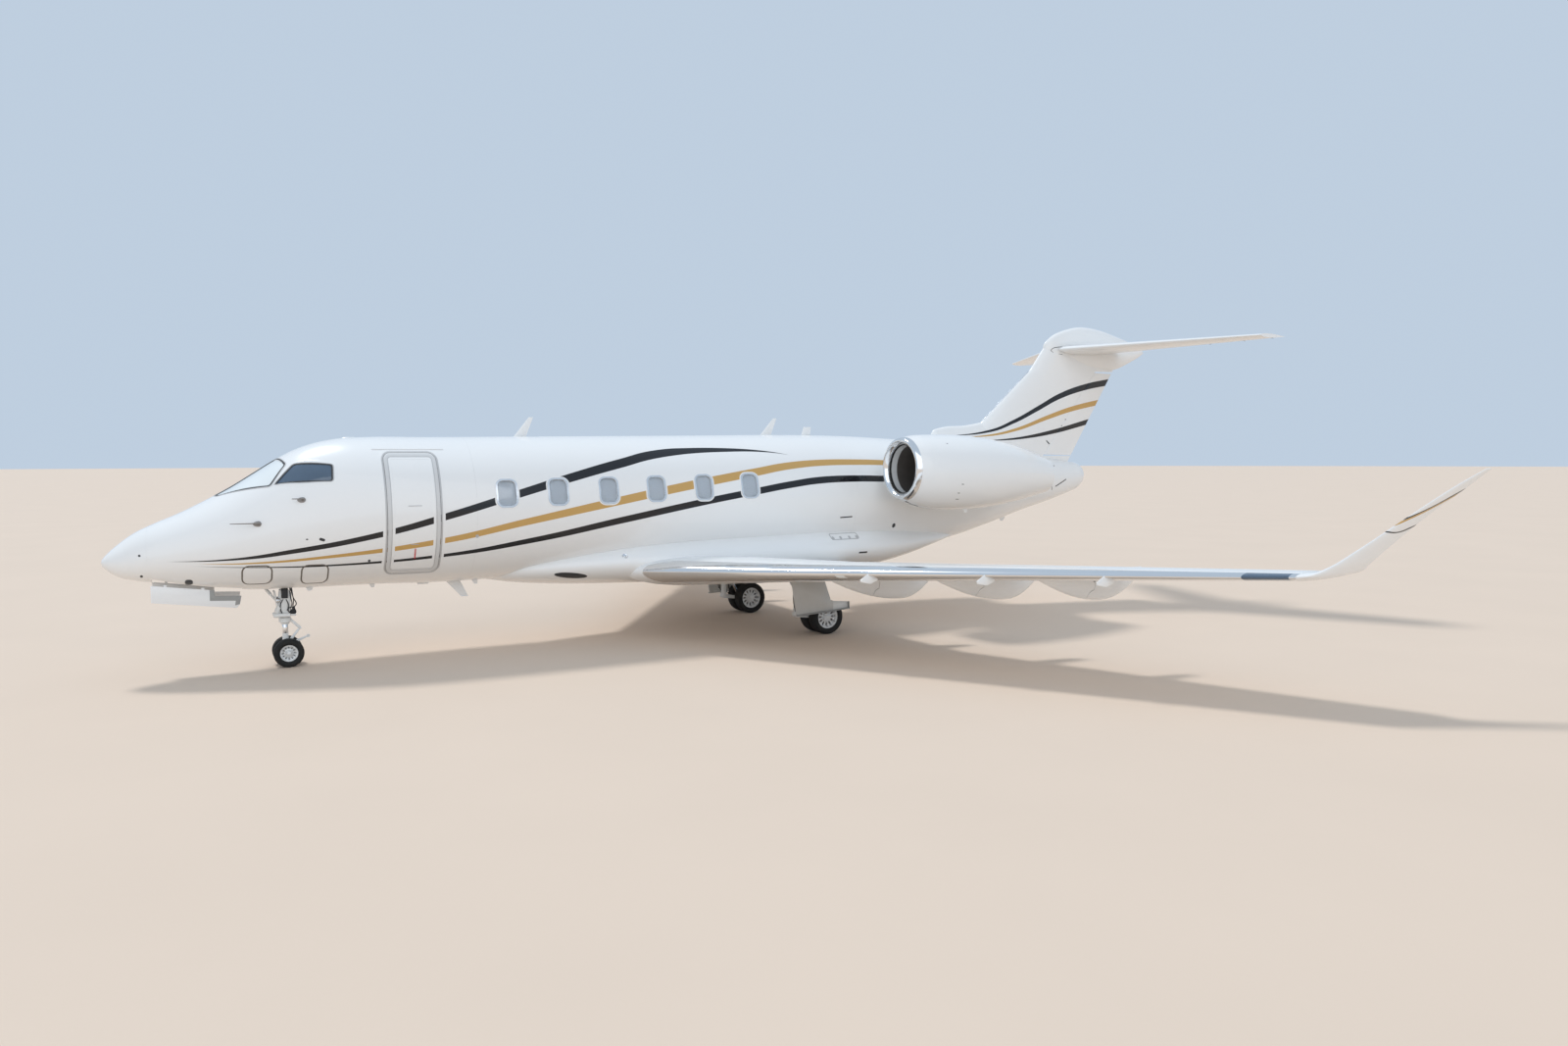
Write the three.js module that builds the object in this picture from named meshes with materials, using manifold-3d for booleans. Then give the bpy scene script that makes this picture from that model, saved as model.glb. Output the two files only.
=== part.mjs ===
// A twin-engined business jet with a T-tail, parked on its gear with its entry door shut.
// Millimetres. The nose points to -X, the left wing to -Y and +Z is up. The origin is on the
// ground, below the middle of the aircraft's length.
import * as THREE from "three";
import { mergeVertices } from "three/addons/utils/BufferGeometryUtils.js";
import Module from "manifold-3d";

const wasm = await Module();
wasm.setup();

// Clearances
const touch = 0.3; // between pieces that rest on each other
const running = 10; // between a moving piece and what it passes

// Body: one station per row
const bodySides = 20;
const wall = 90;
const bodyColumns = ["x", "top", "bottom", "half", "waist"]; // waist is the height of the widest line
const bodyStations = [
  [-10450, 1740, 1660, 50, 1700],
  [-10250, 1955, 1485, 250, 1710],
  [-10050, 2110, 1425, 360, 1730],
  [-9800, 2240, 1378, 470, 1770],
  [-9500, 2375, 1318, 575, 1820],
  [-8800, 2760, 1225, 780, 1950],
  [-8200, 3160, 1195, 925, 2090],
  [-7900, 3325, 1193, 990, 2160],
  [-7600, 3430, 1191, 1045, 2220],
  [-7300, 3488, 1190, 1090, 2270],
  [-6900, 3515, 1188, 1135, 2310],
  [-6000, 3522, 1164, 1179, 2343],
  [900, 3618, 1262, 1179, 2441],
  [2000, 3605, 1276, 1160, 2455],
  [3300, 3550, 1300, 1085, 2468],
  [4500, 3480, 1410, 970, 2490],
  [5550, 3400, 1660, 800, 2550],
  [6660, 3270, 2016, 580, 2660],
  [8050, 3090, 2385, 300, 2725],
  [8300, 3050, 2468, 235, 2750],
  [8450, 2965, 2580, 150, 2765],
  [8510, 2880, 2680, 75, 2780],
];
const radomeSeam = -9890;
const cabinSeam = -5450;
const rearSeam = 1600;
const tailconeSeam = 7620;
const cavityFront = -9250;
const cavityStep = -8700;
const cavityRear = 1540;
const rearBay = { front: 1000, rear: 6300, wall: 60 };
const bilgeTop = 1500; // the lower lobe is closed below this height
const cockpitShelf = 2050;
const floorThickness = 50;
// Blade antennas in the body's middle plane: outlines in X and Z
const bladeHalf = 9;
const topBlades = [
  [[-4600, 3480], [-4370, 3480], [-4220, 3850], [-4295, 3875]],
  [[90, 3545], [355, 3545], [505, 3925], [430, 3935]],
  [[1030, 3550], [1245, 3550], [1275, 3775], [1110, 3775]],
];
const bellyBlade = [[-5790, 1240], [-5530, 1240], [-5360, 895], [-5470, 885]];

// Nose gear bay
const bay = { front: -9850, step: -8700, rear: -7930, half: 262, slotHalf: 200, top: 1760, slotTop: 1430 };
const bayRail = [[-9870, 1600], [-9870, 1392], [-8700, 1230], [-8700, 1600]];
const bayRailOut = 292;

// Entry door, an airstair hinged along its sill
const door = { front: -6760, rear: -6000, sill: 1410, head: 3260, corner: 110, gap: 6 };
const doorHinge = { y: -752, z: 1398, radius: 14, knuckle: 130 };
const doorNotch = -545; // the sill is cut inboard to here, so that the door's foot swings free
const stair = { angles: [-43, -21, 1, 22, 42], width: 560, depth: 215, thickness: 30, open: 129 };

// Cabin windows
const windowCentres = [-4977, -4148, -3293, -2446, -1560, -663];
const cabinWindow = { width: 300, height: 425, corner: 95, tilt: 13.2, recess: 12, liner: 20 };
const linerMargin = 130;

// Cockpit windows, on the left side: corners on the body's skin
const windshieldCorners = [
  [-9010, -45, 2640],
  [-8980, -190, 2632],
  [-8310, -645, 2775],
  [-8085, -455, 3086],
  [-8190, -45, 3145],
];
const sideWindowCorners = [
  [-8245, -672, 2795],
  [-7975, -545, 3095],
  [-7475, -765, 3085],
  [-7492, -920, 2842],
  [-8160, -700, 2815],
];
const windshieldNormal = [-0.6, -0.42, 0.68];
const sideWindowNormal = [-0.15, -0.8, 0.58];
const paneRecess = 4;
const paneDepth = 28; // of the panes' inner frame, inside the wall
const paneGap = 0.5;
const glazingBand = { front: -9100, rear: -7380, low: 2700 };

// Belly fairing
const fairingStations = [
  [-5080, 1380, 1160, 200, 1270],
  [-4650, 1520, 1090, 620, 1330],
  [-4000, 1660, 1030, 880, 1370],
  [-3100, 1790, 985, 1100, 1400],
  [-2100, 1870, 958, 1230, 1425],
  [-400, 1920, 950, 1285, 1440],
  [1100, 1920, 958, 1260, 1450],
  [2200, 1890, 990, 1160, 1465],
  [3100, 1840, 1070, 1000, 1500],
  [3900, 1740, 1245, 740, 1520],
  [4560, 1620, 1450, 380, 1530],
];
const fairingSides = 16;
const wheelWell = { x: 604, y: 620, radius: 350, top: 1195 };

// Wing, on the left side: y is measured outboard
const wing = {
  leadX: -2750, leadY: 1250, sweep: 0.633,
  leadZ: 1270, dihedral: 0.0509,
  rootY: 950, kinkY: 3600, tipY: 9560,
  trailRoot: 1240, trailKink: 1350, trailTip: 3665,
};
const foilStops = [1, 0.75, 0.45, 0.2, 0.06, 0.012];
// Small fences under the leading edge: outline in X and Z from the wing's nose
const fence = { places: [4730, 6240, 7630], half: 5 };
const fenceOutline = [[-150, -70], [-110, -125], [140, -215], [230, -150], [250, -60], [0, 0]];
const skinEdge = { root: -2380, tip: 2700, rootY: 1250, tipY: 9700 }; // back edge of the leading edge
const winglet = [
  // x of the nose, y outboard, z, chord, thickness, lean of the section in degrees
  [2520, 9560.3, 1693, 1140, 112, 0],
  [2620, 9690, 1722, 1040, 96, 22],
  [2830, 9790, 1815, 820, 70, 50],
  [3180, 9905, 2010, 640, 52, 58.5],
  [3830, 10125, 2410, 430, 36, 58.5],
  [4550, 10385, 2850, 280, 24, 58.5],
  [4890, 10499, 3025, 130, 14, 58.5],
];

// Flaps and ailerons, left side: the front edge runs from the first point to the second, x and y outboard
const flaps = {
  inner: { from: [300, 1400], to: [660, 3530], pivotDrop: 410 },
  outer: { from: [766, 3750], to: [2270, 7190], pivotDrop: 365 },
};
const aileron = { from: [2400, 7300], to: [3245, 9330], up: 22, down: 20 };
// Flap-track fairings: y outboard, start, lowest point and end in x, lowest z, which flap
const canoes = [
  [3200, -600, 1190, 1900, 785, "inner"],
  [4990, 250, 1930, 2660, 930, "outer"],
  [6600, 900, 2330, 3140, 1085, "outer"],
];
const canoeHalf = 105;
const lug = { thick: 24, radius: 26, slot: 33 };

// Fin with its bullet, rudder, stabilizer and elevators
const finStations = [
  // z, front, back, half thickness
  [3000, 5000, 8030, 165],
  [3700, 5330, 8485, 165],
  [3930, 5540, 8634, 160],
  [5125, 6935, 9423, 140],
  [5600, 7300, 9700, 130],
];
const bullet = [
  [7330, 5700, 5440, 45, 5560],
  [7450, 5815, 5370, 95, 5580],
  [7620, 5925, 5335, 125, 5585],
  [7900, 6030, 5310, 150, 5585],
  [8350, 6127, 5220, 174, 5580],
  [8965, 6100, 5190, 178, 5580],
  [9460, 6000, 5205, 158, 5580],
  [10000, 5860, 5400, 100, 5610],
  [10390, 5715, 5590, 40, 5655],
  [10454, 5675, 5630, 12, 5652],
];
const spine = [
  [4200, 3640, 3300, 55, 3450],
  [4270, 3752, 3300, 90, 3450],
  [4420, 3800, 3300, 108, 3450],
  [5120, 3864, 3300, 130, 3450],
  [5700, 3960, 3300, 140, 3450],
];
const rudderHinge = { low: [7292, 3222], high: [8858, 5112] };
const rudderPin = { reach: 80, radius: 24, clear: 0.85 };
const rudder = { foot: 3222, footRise: 42, top: 5112, footGap: 14, topGap: 44 };
const tail = {
  rootY: 186, tipY: 3720, z: 5585, rise: 0.02,
  rootFront: 7610, rootBack: 9420, tipFront: 9700, tipBack: 10455,
  thickness: 0.1, hingeShare: 0.68, pivot: 8600, tube: 69.3,
};
const elevator = { inner: 215, outer: 3560, up: 23, down: 18 };

// Engines, left side
const engine = { y: 1970, lipZ: 2976, fanX: 2760 };
// Outside of the nacelle from lip to nozzle: x, radius, height of the centre
const nacelleOuter = [
  [2085, 585, 2968],
  [2260, 636, 2950],
  [2500, 674, 2925],
  [2900, 700, 2904],
  [3400, 700, 2895],
  [4000, 655, 2882],
  [4700, 545, 2868],
  [5480, 350, 2830],
];
const nacelleInner = [
  [5480, 330, 2830],
  [4600, 430, 2868],
  [3100, 478, 2898],
  [2085, 447, 2968],
];
// Profile of the inlet's lip, from the outside over the nose to the inside: x, radius
const lipProfile = [
  [2028, 566],
  [1985, 538],
  [1985, 505],
  [2030, 465],
];
const nacelleSides = 20;
const fan = { blades: 12, radius: 447, hub: 130, depth: 90, spinner: 210 };
const coreStations = [
  // x, radius
  [2860, 120],
  [2870, 330],
  [4300, 340],
  [4700, 260],
  [5200, 185],
  [5640, 20],
];
const strut = { x: 4050, chord: 260, thick: 36 };
const pylonSections = [
  // y outboard, front, back, thickness
  [700, 2750, 5650, 300],
  [1500, 2950, 5350, 240],
];
const pylonZ = 2900;

// Nose gear
const noseGear = {
  x: -8125, axleX: -8094, axleZ: 215, legRadius: 62, legFoot: 640, pistonRadius: 44,
  wheelY: 152, tyreWidth: 186, tyreRadius: 215, rimRadius: 126, axleRadius: 30, steer: 60,
};
// Main gear, left side
const mainGear = {
  x: 604, y: 1494, axleZ: 310, legX: 85, kneeZ: 370, wheelY: 160, tyreWidth: 212,
  tyreRadius: 310, rimRadius: 205, axleRadius: 36,
};
const legPanel = [
  [-60, 935], [530, 845], [655, 600], [1000, 576], [1000, 452], [640, 425], [-45, 386],
];
const panelY = 1785;
const legCeiling = 1140;
const noseDoor = {
  front: -9862, rear: -8712, y: 277, hingeZ: 1378, slope: -0.1387, hinges: [-9700, -9230], eye: 40, eyeRadius: 10,
  outline: [
    [-9862, 1362], [-9862, 1116], [-8776, 972], [-8735, 1024], [-8712, 1150], [-9112, 1172], [-9112, 1258],
  ],
};

// Finishes
const finish = (color, roughness, metalness) =>
  new THREE.MeshStandardMaterial({ color, roughness, metalness });
const whitePaint = finish(0xf1f2f3, 0.2, 0);
const polished = finish(0xc9ccd1, 0.12, 1);
const glass = finish(0x39434f, 0.08, 0);
const rubber = finish(0x1b1b1c, 0.85, 0);
const gearMetal = finish(0xb9bcc0, 0.35, 0.7);
const engineMetal = finish(0x6e6a66, 0.4, 0.8);
const leather = finish(0xb7a88f, 0.7, 0);
const darkTrim = finish(0x2b2d30, 0.7, 0);
const carpet = finish(0x8d8578, 0.95, 0);

const aircraft = new THREE.Group();

// Solids
function toSolid(geometry) {
  const bare = geometry.clone();
  bare.deleteAttribute("normal");
  bare.deleteAttribute("uv");
  const merged = mergeVertices(bare, 1e-3);
  const positions = merged.attributes.position.array;
  const faces = new Uint32Array(merged.index.array);
  const made = new wasm.Manifold(
    new wasm.Mesh({ numProp: 3, vertProperties: positions, triVerts: faces }),
  );
  return made.volume() < 0 ? toSolid(turnedRound(merged)) : made;
}

function turnedRound(geometry) {
  const copy = geometry.clone();
  const index = copy.index.array;
  for (let i = 0; i < index.length; i += 3) [index[i + 1], index[i + 2]] = [index[i + 2], index[i + 1]];
  return copy;
}

function toGeometry(solid) {
  const mesh = solid.getMesh();
  const geometry = new THREE.BufferGeometry();
  const positions = new Float32Array(mesh.numVert * 3);
  for (let i = 0; i < mesh.numVert; i++) {
    const start = i * mesh.numProp;
    positions.set(mesh.vertProperties.subarray(start, start + 3), i * 3);
  }
  geometry.setAttribute("position", new THREE.BufferAttribute(positions, 3));
  geometry.setIndex(new THREE.BufferAttribute(new Uint32Array(mesh.triVerts), 1));
  return geometry;
}

const join = (...solids) => solids.reduce((sum, next) => sum.add(next));
const cut = (solid, ...tools) => tools.reduce((left, tool) => left.subtract(tool), solid);
const common = (...solids) => solids.reduce((left, next) => left.intersect(next));

function mirrored(solid) {
  const geometry = toGeometry(solid);
  geometry.applyMatrix4(new THREE.Matrix4().makeScale(1, -1, 1));
  return toSolid(turnedRound(geometry));
}

function block(x0, x1, y0, y1, z0, z1) {
  const geometry = new THREE.BoxGeometry(x1 - x0, y1 - y0, z1 - z0);
  return toSolid(geometry.translate((x0 + x1) / 2, (y0 + y1) / 2, (z0 + z1) / 2));
}

const reach = 12000;
const between = (x0, x1) => block(x0, x1, -reach, reach, -reach, reach);

// A skin over rings of points that all have the same count, closed by a flat cap at each end.
// Its faces are split alike on both sides of the aircraft's middle.
function skinned(rings) {
  const sides = rings[0].length;
  const positions = rings.flat().flatMap((p) => [p.x, p.y, p.z]);
  const index = [];
  for (let r = 0; r + 1 < rings.length; r++) {
    for (let i = 0; i < sides; i++) {
      const a = r * sides + i;
      const b = r * sides + ((i + 1) % sides);
      const centre = rings[r][i].y + rings[r + 1][(i + 1) % sides].y;
      if (centre < 0) index.push(a, b, b + sides, a, b + sides, a + sides);
      else index.push(a, b, a + sides, b, b + sides, a + sides);
    }
  }
  const last = (rings.length - 1) * sides;
  for (let i = 1; i + 1 < sides; i++) {
    index.push(0, i + 1, i);
    index.push(last, last + i, last + i + 1);
  }
  const geometry = new THREE.BufferGeometry();
  geometry.setAttribute("position", new THREE.Float32BufferAttribute(positions, 3));
  geometry.setIndex(index);
  return toSolid(geometry);
}

const station = (row) => Object.fromEntries(bodyColumns.map((name, i) => [name, row[i]]));

// A ring across the body: an ellipse with a different height above and below its widest line.
function bodyRing(row, grow = 0, sides = bodySides) {
  const { x, top, bottom, half, waist } = station(row);
  const points = [];
  for (let i = 0; i < sides; i++) {
    const angle = (2 * Math.PI * i) / sides;
    const rise = Math.sin(angle) >= 0 ? top - waist : waist - bottom;
    const y = (half + grow) * Math.cos(angle);
    points.push(new THREE.Vector3(x, y, waist + (rise + grow) * Math.sin(angle)));
  }
  return points;
}

const body = (grow, rows = bodyStations) => skinned(rows.map((row) => bodyRing(row, grow)));
const rowsBetween = (x0, x1) => bodyStations.filter(([x]) => x >= x0 && x <= x1);
// The inside needs fewer stations than the outside.
const innerStations = [-9500, -8800, -8200, -7600, -6900, -6000, 900, 2000];
const innerRows = bodyStations.filter(([x]) => innerStations.includes(x));
const inner = (depth) => body(-wall - depth, innerRows);

// A prism whose outline is the given 3D points seen along the direction, both ways from them.
function prismAlong(corners, direction, depth, shrink = 0) {
  const points = corners.map((c) => new THREE.Vector3(...c));
  const middle = points.reduce((sum, p) => sum.add(p), new THREE.Vector3()).divideScalar(points.length);
  const w = new THREE.Vector3(...direction).normalize();
  const u = new THREE.Vector3(1, 0, 0).addScaledVector(w, -w.x).normalize();
  const v = new THREE.Vector3().crossVectors(w, u);
  const flat = points.map((p) => {
    const d = p.clone().sub(middle);
    const inPlane = new THREE.Vector2(d.dot(u), d.dot(v));
    return inPlane.multiplyScalar(1 - shrink / inPlane.length());
  });
  const shape = new THREE.Shape(flat);
  const geometry = new THREE.ExtrudeGeometry(shape, { depth: 2 * depth, bevelEnabled: false });
  geometry.translate(0, 0, -depth);
  geometry.applyMatrix4(new THREE.Matrix4().makeBasis(u, v, w).setPosition(middle));
  return toSolid(geometry);
}

// A rectangle with its corners cut off.
function cutRectangle(width, height, corner) {
  const [w, h, c] = [width / 2, height / 2, corner * 0.6];
  const points = [[-w + c, -h], [w - c, -h], [w, -h + c], [w, h - c], [w - c, h], [-w + c, h], [-w, h - c], [-w, -h + c]];
  return new THREE.Shape(points.map(([x, y]) => new THREE.Vector2(x, y)));
}

// An outline in X and Z, extruded along Y from y0 to y1.
function plate(outline, y0, y1) {
  const shape = new THREE.Shape(outline.map(([x, z]) => new THREE.Vector2(x, z)));
  const geometry = new THREE.ExtrudeGeometry(shape, { depth: y1 - y0, bevelEnabled: false });
  geometry.rotateX(Math.PI / 2);
  return toSolid(geometry.translate(0, y1, 0));
}

function rod(from, to, radius, sides = 16, endRadius = radius) {
  const start = new THREE.Vector3(...from);
  const along = new THREE.Vector3(...to).sub(start);
  const geometry = new THREE.CylinderGeometry(endRadius, radius, along.length(), sides);
  geometry.translate(0, along.length() / 2, 0);
  const turn = new THREE.Quaternion().setFromUnitVectors(new THREE.Vector3(0, 1, 0), along.normalize());
  geometry.applyQuaternion(turn);
  return toSolid(geometry.translate(start.x, start.y, start.z));
}

// A turned piece on an axis along Y: the profile holds [distance along Y, radius] and closes on itself.
function turnedAlongY(profile, x, z) {
  const points = profile.map(([along, radius]) => new THREE.Vector2(radius, along));
  if (points[0].x > 0) points.push(points[0].clone());
  const geometry = new THREE.LatheGeometry(points, wheelSides);
  return toSolid(geometry.translate(x, 0, z));
}

// Rings of a tapering tube along X: [x, radius, z], about y.
const tubeRing = ([x, radius, z], y, sides) =>
  Array.from({ length: sides }, (_, i) => {
    const angle = (2 * Math.PI * i) / sides;
    return new THREE.Vector3(x, y + radius * Math.cos(angle), z + radius * Math.sin(angle));
  });
const tube = (rows, y, sides) => skinned(rows.map((row) => tubeRing(row, y, sides)));

function addMesh(name, solid, material) {
  const mesh = new THREE.Mesh(toGeometry(solid), material);
  mesh.name = name;
  aircraft.add(mesh);
}

function addPair(name, solid, material) {
  addMesh(name + "_left", solid, material);
  addMesh(name + "_right", mirrored(solid), material);
}

// Aerofoil: points [share of chord, half thickness share] from the back over the top to the back below.
function foilHeight(share, thickness) {
  const s = share;
  const curve = 0.2969 * Math.sqrt(s) - 0.126 * s - 0.3516 * s ** 2 + 0.2843 * s ** 3 - 0.1015 * s ** 4;
  return 5 * thickness * curve + 0.0012 * s;
}

function foilRing(front, chord, thickness, place) {
  const upper = foilStops.map((s) => place(front + s * chord, chord * foilHeight(s, thickness)));
  const nose = place(front, 0);
  const lower = [...foilStops].reverse().map((s) => place(front + s * chord, -chord * foilHeight(s, thickness)));
  return [...upper, nose, ...lower];
}

// Body sections
function windowPrism(centreX, shrink = 0) {
  const { width, height, corner, tilt } = cabinWindow;
  const shape = cutRectangle(width - 2 * shrink, height - 2 * shrink, corner - shrink);
  const geometry = new THREE.ExtrudeGeometry(shape, { depth: 500, bevelEnabled: false });
  geometry.rotateX(Math.PI / 2);
  geometry.translate(0, -850, 0);
  geometry.rotateX(THREE.MathUtils.degToRad(-tilt));
  return toSolid(geometry.translate(centreX, 0, waistAt(centreX)));
}

function waistAt(x) {
  const next = bodyStations.findIndex((row) => row[0] >= x);
  const [a, b] = [bodyStations[next - 1], bodyStations[next]];
  return THREE.MathUtils.mapLinear(x, a[0], b[0], a[4], b[4]);
}

function doorOutline(grow) {
  const { front, rear, sill, head, corner } = door;
  const shape = cutRectangle(rear - front + 2 * grow, head - sill + 2 * grow, corner + grow);
  const geometry = new THREE.ExtrudeGeometry(shape, { depth: 1400, bevelEnabled: false });
  geometry.rotateX(Math.PI / 2);
  return toSolid(geometry.translate((front + rear) / 2, doorNotch, (sill + head) / 2));
}

function bodyCavity() {
  const room = join(
    block(cavityFront, cavityRear, -reach, reach, cockpitShelf, reach),
    block(cavityStep, cavityRear, -reach, reach, bilgeTop, reach),
  );
  return common(inner(0), room);
}

function noseBay() {
  const { front, step, rear, half, slotHalf, top, slotTop } = bay;
  return join(block(front, step, -half, half, 0, top), block(step - 1, rear, -slotHalf, slotHalf, 0, slotTop));
}

const windowTools = windowCentres.map((x) => windowPrism(x));
const cockpitTools = [
  prismAlong(windshieldCorners, windshieldNormal, 300),
  prismAlong(sideWindowCorners, sideWindowNormal, 300),
];
const shellOuter = body(0);
const cavity = bodyCavity();

function makeBody() {
  const hollow = cut(shellOuter, cavity);
  const knuckles = doorKnuckles(0);
  addMesh("radome", common(shellOuter, between(-reach, radomeSeam - touch)), whitePaint);
  const front = cut(
    common(hollow, between(radomeSeam, cabinSeam)),
    noseBay(),
    doorOutline(door.gap),
    ...cockpitTools,
    ...cockpitTools.map(mirrored),
  );
  const blade = (outline) => plate(outline, -bladeHalf, bladeHalf);
  addMesh("front_fuselage", join(front, ...knuckles, ...bayRails(), blade(bellyBlade)), whitePaint);
  const cabin = cut(
    common(hollow, between(cabinSeam + touch, rearSeam)),
    ...windowTools,
    ...windowTools.map(mirrored),
  );
  addMesh("cabin_fuselage", join(cabin, ...topBlades.map(blade)), whitePaint);
  const rearInside = common(body(-rearBay.wall, rowsBetween(900, 6700)), between(rearBay.front, rearBay.rear));
  const rear = common(cut(shellOuter, rearInside), between(rearSeam + touch, tailconeSeam));
  addMesh("rear_fuselage", rear, whitePaint);
  addMesh("tailcone", common(shellOuter, between(tailconeSeam + touch, reach)), whitePaint);
}

// Fixed knuckles of the door hinge are the even ones, the door's own are the odd ones.
function doorKnuckles(first) {
  const { y, z, radius, knuckle } = doorHinge;
  const made = [];
  for (let i = first; i < 5; i += 2) {
    const start = door.front + 50 + i * (knuckle + touch);
    const eye = rod([start, y, z], [start + knuckle, y, z], radius, 12);
    const foot = first === 0 ? [y, y + 130, z - 34, z] : [y, y + 46, z, z + 34];
    made.push(join(eye, block(start, start + knuckle, ...foot)));
  }
  return made;
}

function makeDoor() {
  const ring = cut(shellOuter, inner(0));
  const leaf = common(ring, doorOutline(0), between(door.front, door.rear));
  const middle = (door.front + door.rear) / 2;
  const centre = waistAt(middle);
  const treads = stair.angles.map((degrees) => {
    const around = THREE.MathUtils.degToRad(degrees);
    const tread = new THREE.BoxGeometry(stair.width, stair.depth + 50, stair.thickness);
    tread.translate(0, stair.depth / 2, 0);
    tread.rotateX(THREE.MathUtils.degToRad(180 - stair.open));
    const [y, z] = [-1082 * Math.cos(around), centre + 1085 * Math.sin(around)];
    return toSolid(tread.translate(middle, y, z));
  });
  const leafWithEyes = join(leaf, ...doorKnuckles(1));
  addMesh("entry_door", join(leafWithEyes, ...treads), whitePaint);
}

function makeGlazing() {
  const skin = cut(body(-paneRecess), inner(paneDepth));
  const panes = [
    prismAlong(windshieldCorners, windshieldNormal, 200, 2 * paneGap),
    prismAlong(sideWindowCorners, sideWindowNormal, 200, 2 * paneGap),
  ];
  const band = common(
    cut(inner(touch), inner(paneDepth)),
    block(glazingBand.front, glazingBand.rear, -reach, reach, glazingBand.low, reach),
  );
  const panesBothSides = [...panes, ...panes.map(mirrored)];
  addMesh("cockpit_glazing", join(band, ...panesBothSides.map((pane) => common(pane, skin))), glass);
}

function makeCabinWindows() {
  const { recess, liner, width } = cabinWindow;
  const skin = cut(body(-recess), inner(liner));
  const backing = cut(inner(touch), inner(liner));
  const [first, last] = [windowCentres[0], windowCentres.at(-1)];
  const side = block(first - width / 2 - linerMargin, last + width / 2 + linerMargin, -reach, 0, 2350, 2950);
  const panes = windowCentres.map((x) => common(skin, windowPrism(x, paneGap)));
  addPair("cabin_windows", join(common(backing, side), ...panes), glass);
}

// Cabin
function makeInterior() {
  const inside = inner(touch);
  const floorTop = bilgeTop + floorThickness;
  const slab = block(cavityStep + touch, cavityRear - touch, -reach, reach, bilgeTop + touch, floorTop);
  const doorway = block(door.front - 40, door.rear + 40, -reach, doorNotch - 5, 0, reach);
  addMesh("cabin_floor", cut(common(inside, slab), doorway), carpet);
  const wallSlab = block(-6990, -6950, -reach, reach, floorTop + touch, reach);
  const passage = block(-7100, -6900, -300, 300, 0, 3250);
  addMesh("cockpit_bulkhead", cut(common(inside, wallSlab), passage), leather);
  makeInstrumentPanel(floorTop + touch);
  for (const [name, side] of [["left", -1], ["right", 1]]) {
    addMesh("pilot_seat_" + name, pilotSeat(side * 420, floorTop + touch), leather);
  }
}

function makeInstrumentPanel(floor) {
  const outline = [
    [-8640, 2090], [-8560, 2090], [-8520, 2560], [-8440, 2600], [-8470, 2640], [-8640, 2640],
  ];
  const pedestal = [[-8640, floor], [-7990, floor], [-7990, 1980], [-8400, 2200], [-8640, 2200]];
  const desk = common(plate(outline, -640, 640), inner(paneDepth + 4));
  addMesh("instrument_panel", join(desk, plate(pedestal, -130, 130)), darkTrim);
}

function pilotSeat(y, floor) {
  const pan = plate([[-8130, 1990], [-7640, 1960], [-7640, 2070], [-8130, 2110]], y - 230, y + 230);
  const back = plate([[-7700, 1960], [-7600, 1960], [-7440, 2720], [-7540, 2740]], y - 220, y + 220);
  const head = plate([[-7520, 2700], [-7430, 2690], [-7400, 2880], [-7490, 2890]], y - 130, y + 130);
  const base = plate([[-8000, floor], [-7680, floor], [-7720, 2000], [-7960, 2000]], y - 130, y + 130);
  const rests = [-1, 1].map((s) =>
    plate([[-7980, 2230], [-7560, 2230], [-7560, 2290], [-7980, 2290]], y + s * 225 - 25, y + s * 225 + 25));
  return join(pan, back, head, base, ...rests);
}

function makeFairing() {
  const outer = skinned(fairingStations.map((row) => bodyRing(row, 0, fairingSides)));
  const wells = [-1, 1].map((s) =>
    rod([wheelWell.x, s * wheelWell.y, 0], [wheelWell.x, s * wheelWell.y, wheelWell.top], wheelWell.radius, 12));
  addMesh("belly_fairing", cut(outer, body(touch), ...wells), whitePaint);
}

// Wings
const leadX = (y) => wing.leadX + (y - wing.leadY) * wing.sweep;
const leadZ = (y) => wing.leadZ + (y - wing.leadY) * wing.dihedral;

function trailX(y) {
  const { rootY, kinkY, tipY, trailRoot, trailKink, trailTip } = wing;
  return y < kinkY
    ? THREE.MathUtils.mapLinear(y, rootY, kinkY, trailRoot, trailKink)
    : THREE.MathUtils.mapLinear(y, kinkY, tipY, trailKink, trailTip);
}

const wingTwist = (y) => THREE.MathUtils.degToRad(THREE.MathUtils.mapLinear(y, wing.rootY, wing.tipY, 2, -0.5));
const wingThickness = (y) => THREE.MathUtils.mapLinear(y, wing.rootY, wing.tipY, 0.125, 0.1);

// Height of the wing's chord line at a place.
const chordZ = (x, y) => leadZ(y) - (x - leadX(y)) * Math.sin(wingTwist(y));

function wingRing(y) {
  const chord = trailX(y) - leadX(y);
  const place = (x, up) => new THREE.Vector3(x, -y, chordZ(x, y) + up);
  return foilRing(leadX(y), chord, wingThickness(y), place);
}

// A frame on a hinge line: x forward, y along the line (outboard), z up from it.
function hingeFrame(from, to) {
  const start = new THREE.Vector3(...from);
  const end = new THREE.Vector3(...to);
  const along = end.clone().sub(start).normalize();
  const aft = new THREE.Vector3(1, 0, 0).addScaledVector(along, -along.x).normalize();
  const up = new THREE.Vector3().crossVectors(along, aft);
  return { start, end, along, aft, up, length: start.distanceTo(end) };
}

// A box in a hinge frame: aft, along and up from the frame's start.
function hingeBlock(frame, a0, a1, s0, s1, u0, u1) {
  const geometry = new THREE.BoxGeometry(a1 - a0, s1 - s0, u1 - u0);
  geometry.translate((a0 + a1) / 2, (s0 + s1) / 2, (u0 + u1) / 2);
  const basis = new THREE.Matrix4().makeBasis(frame.aft, frame.along, frame.up).setPosition(frame.start);
  geometry.applyMatrix4(basis);
  return toSolid(geometry);
}

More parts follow.
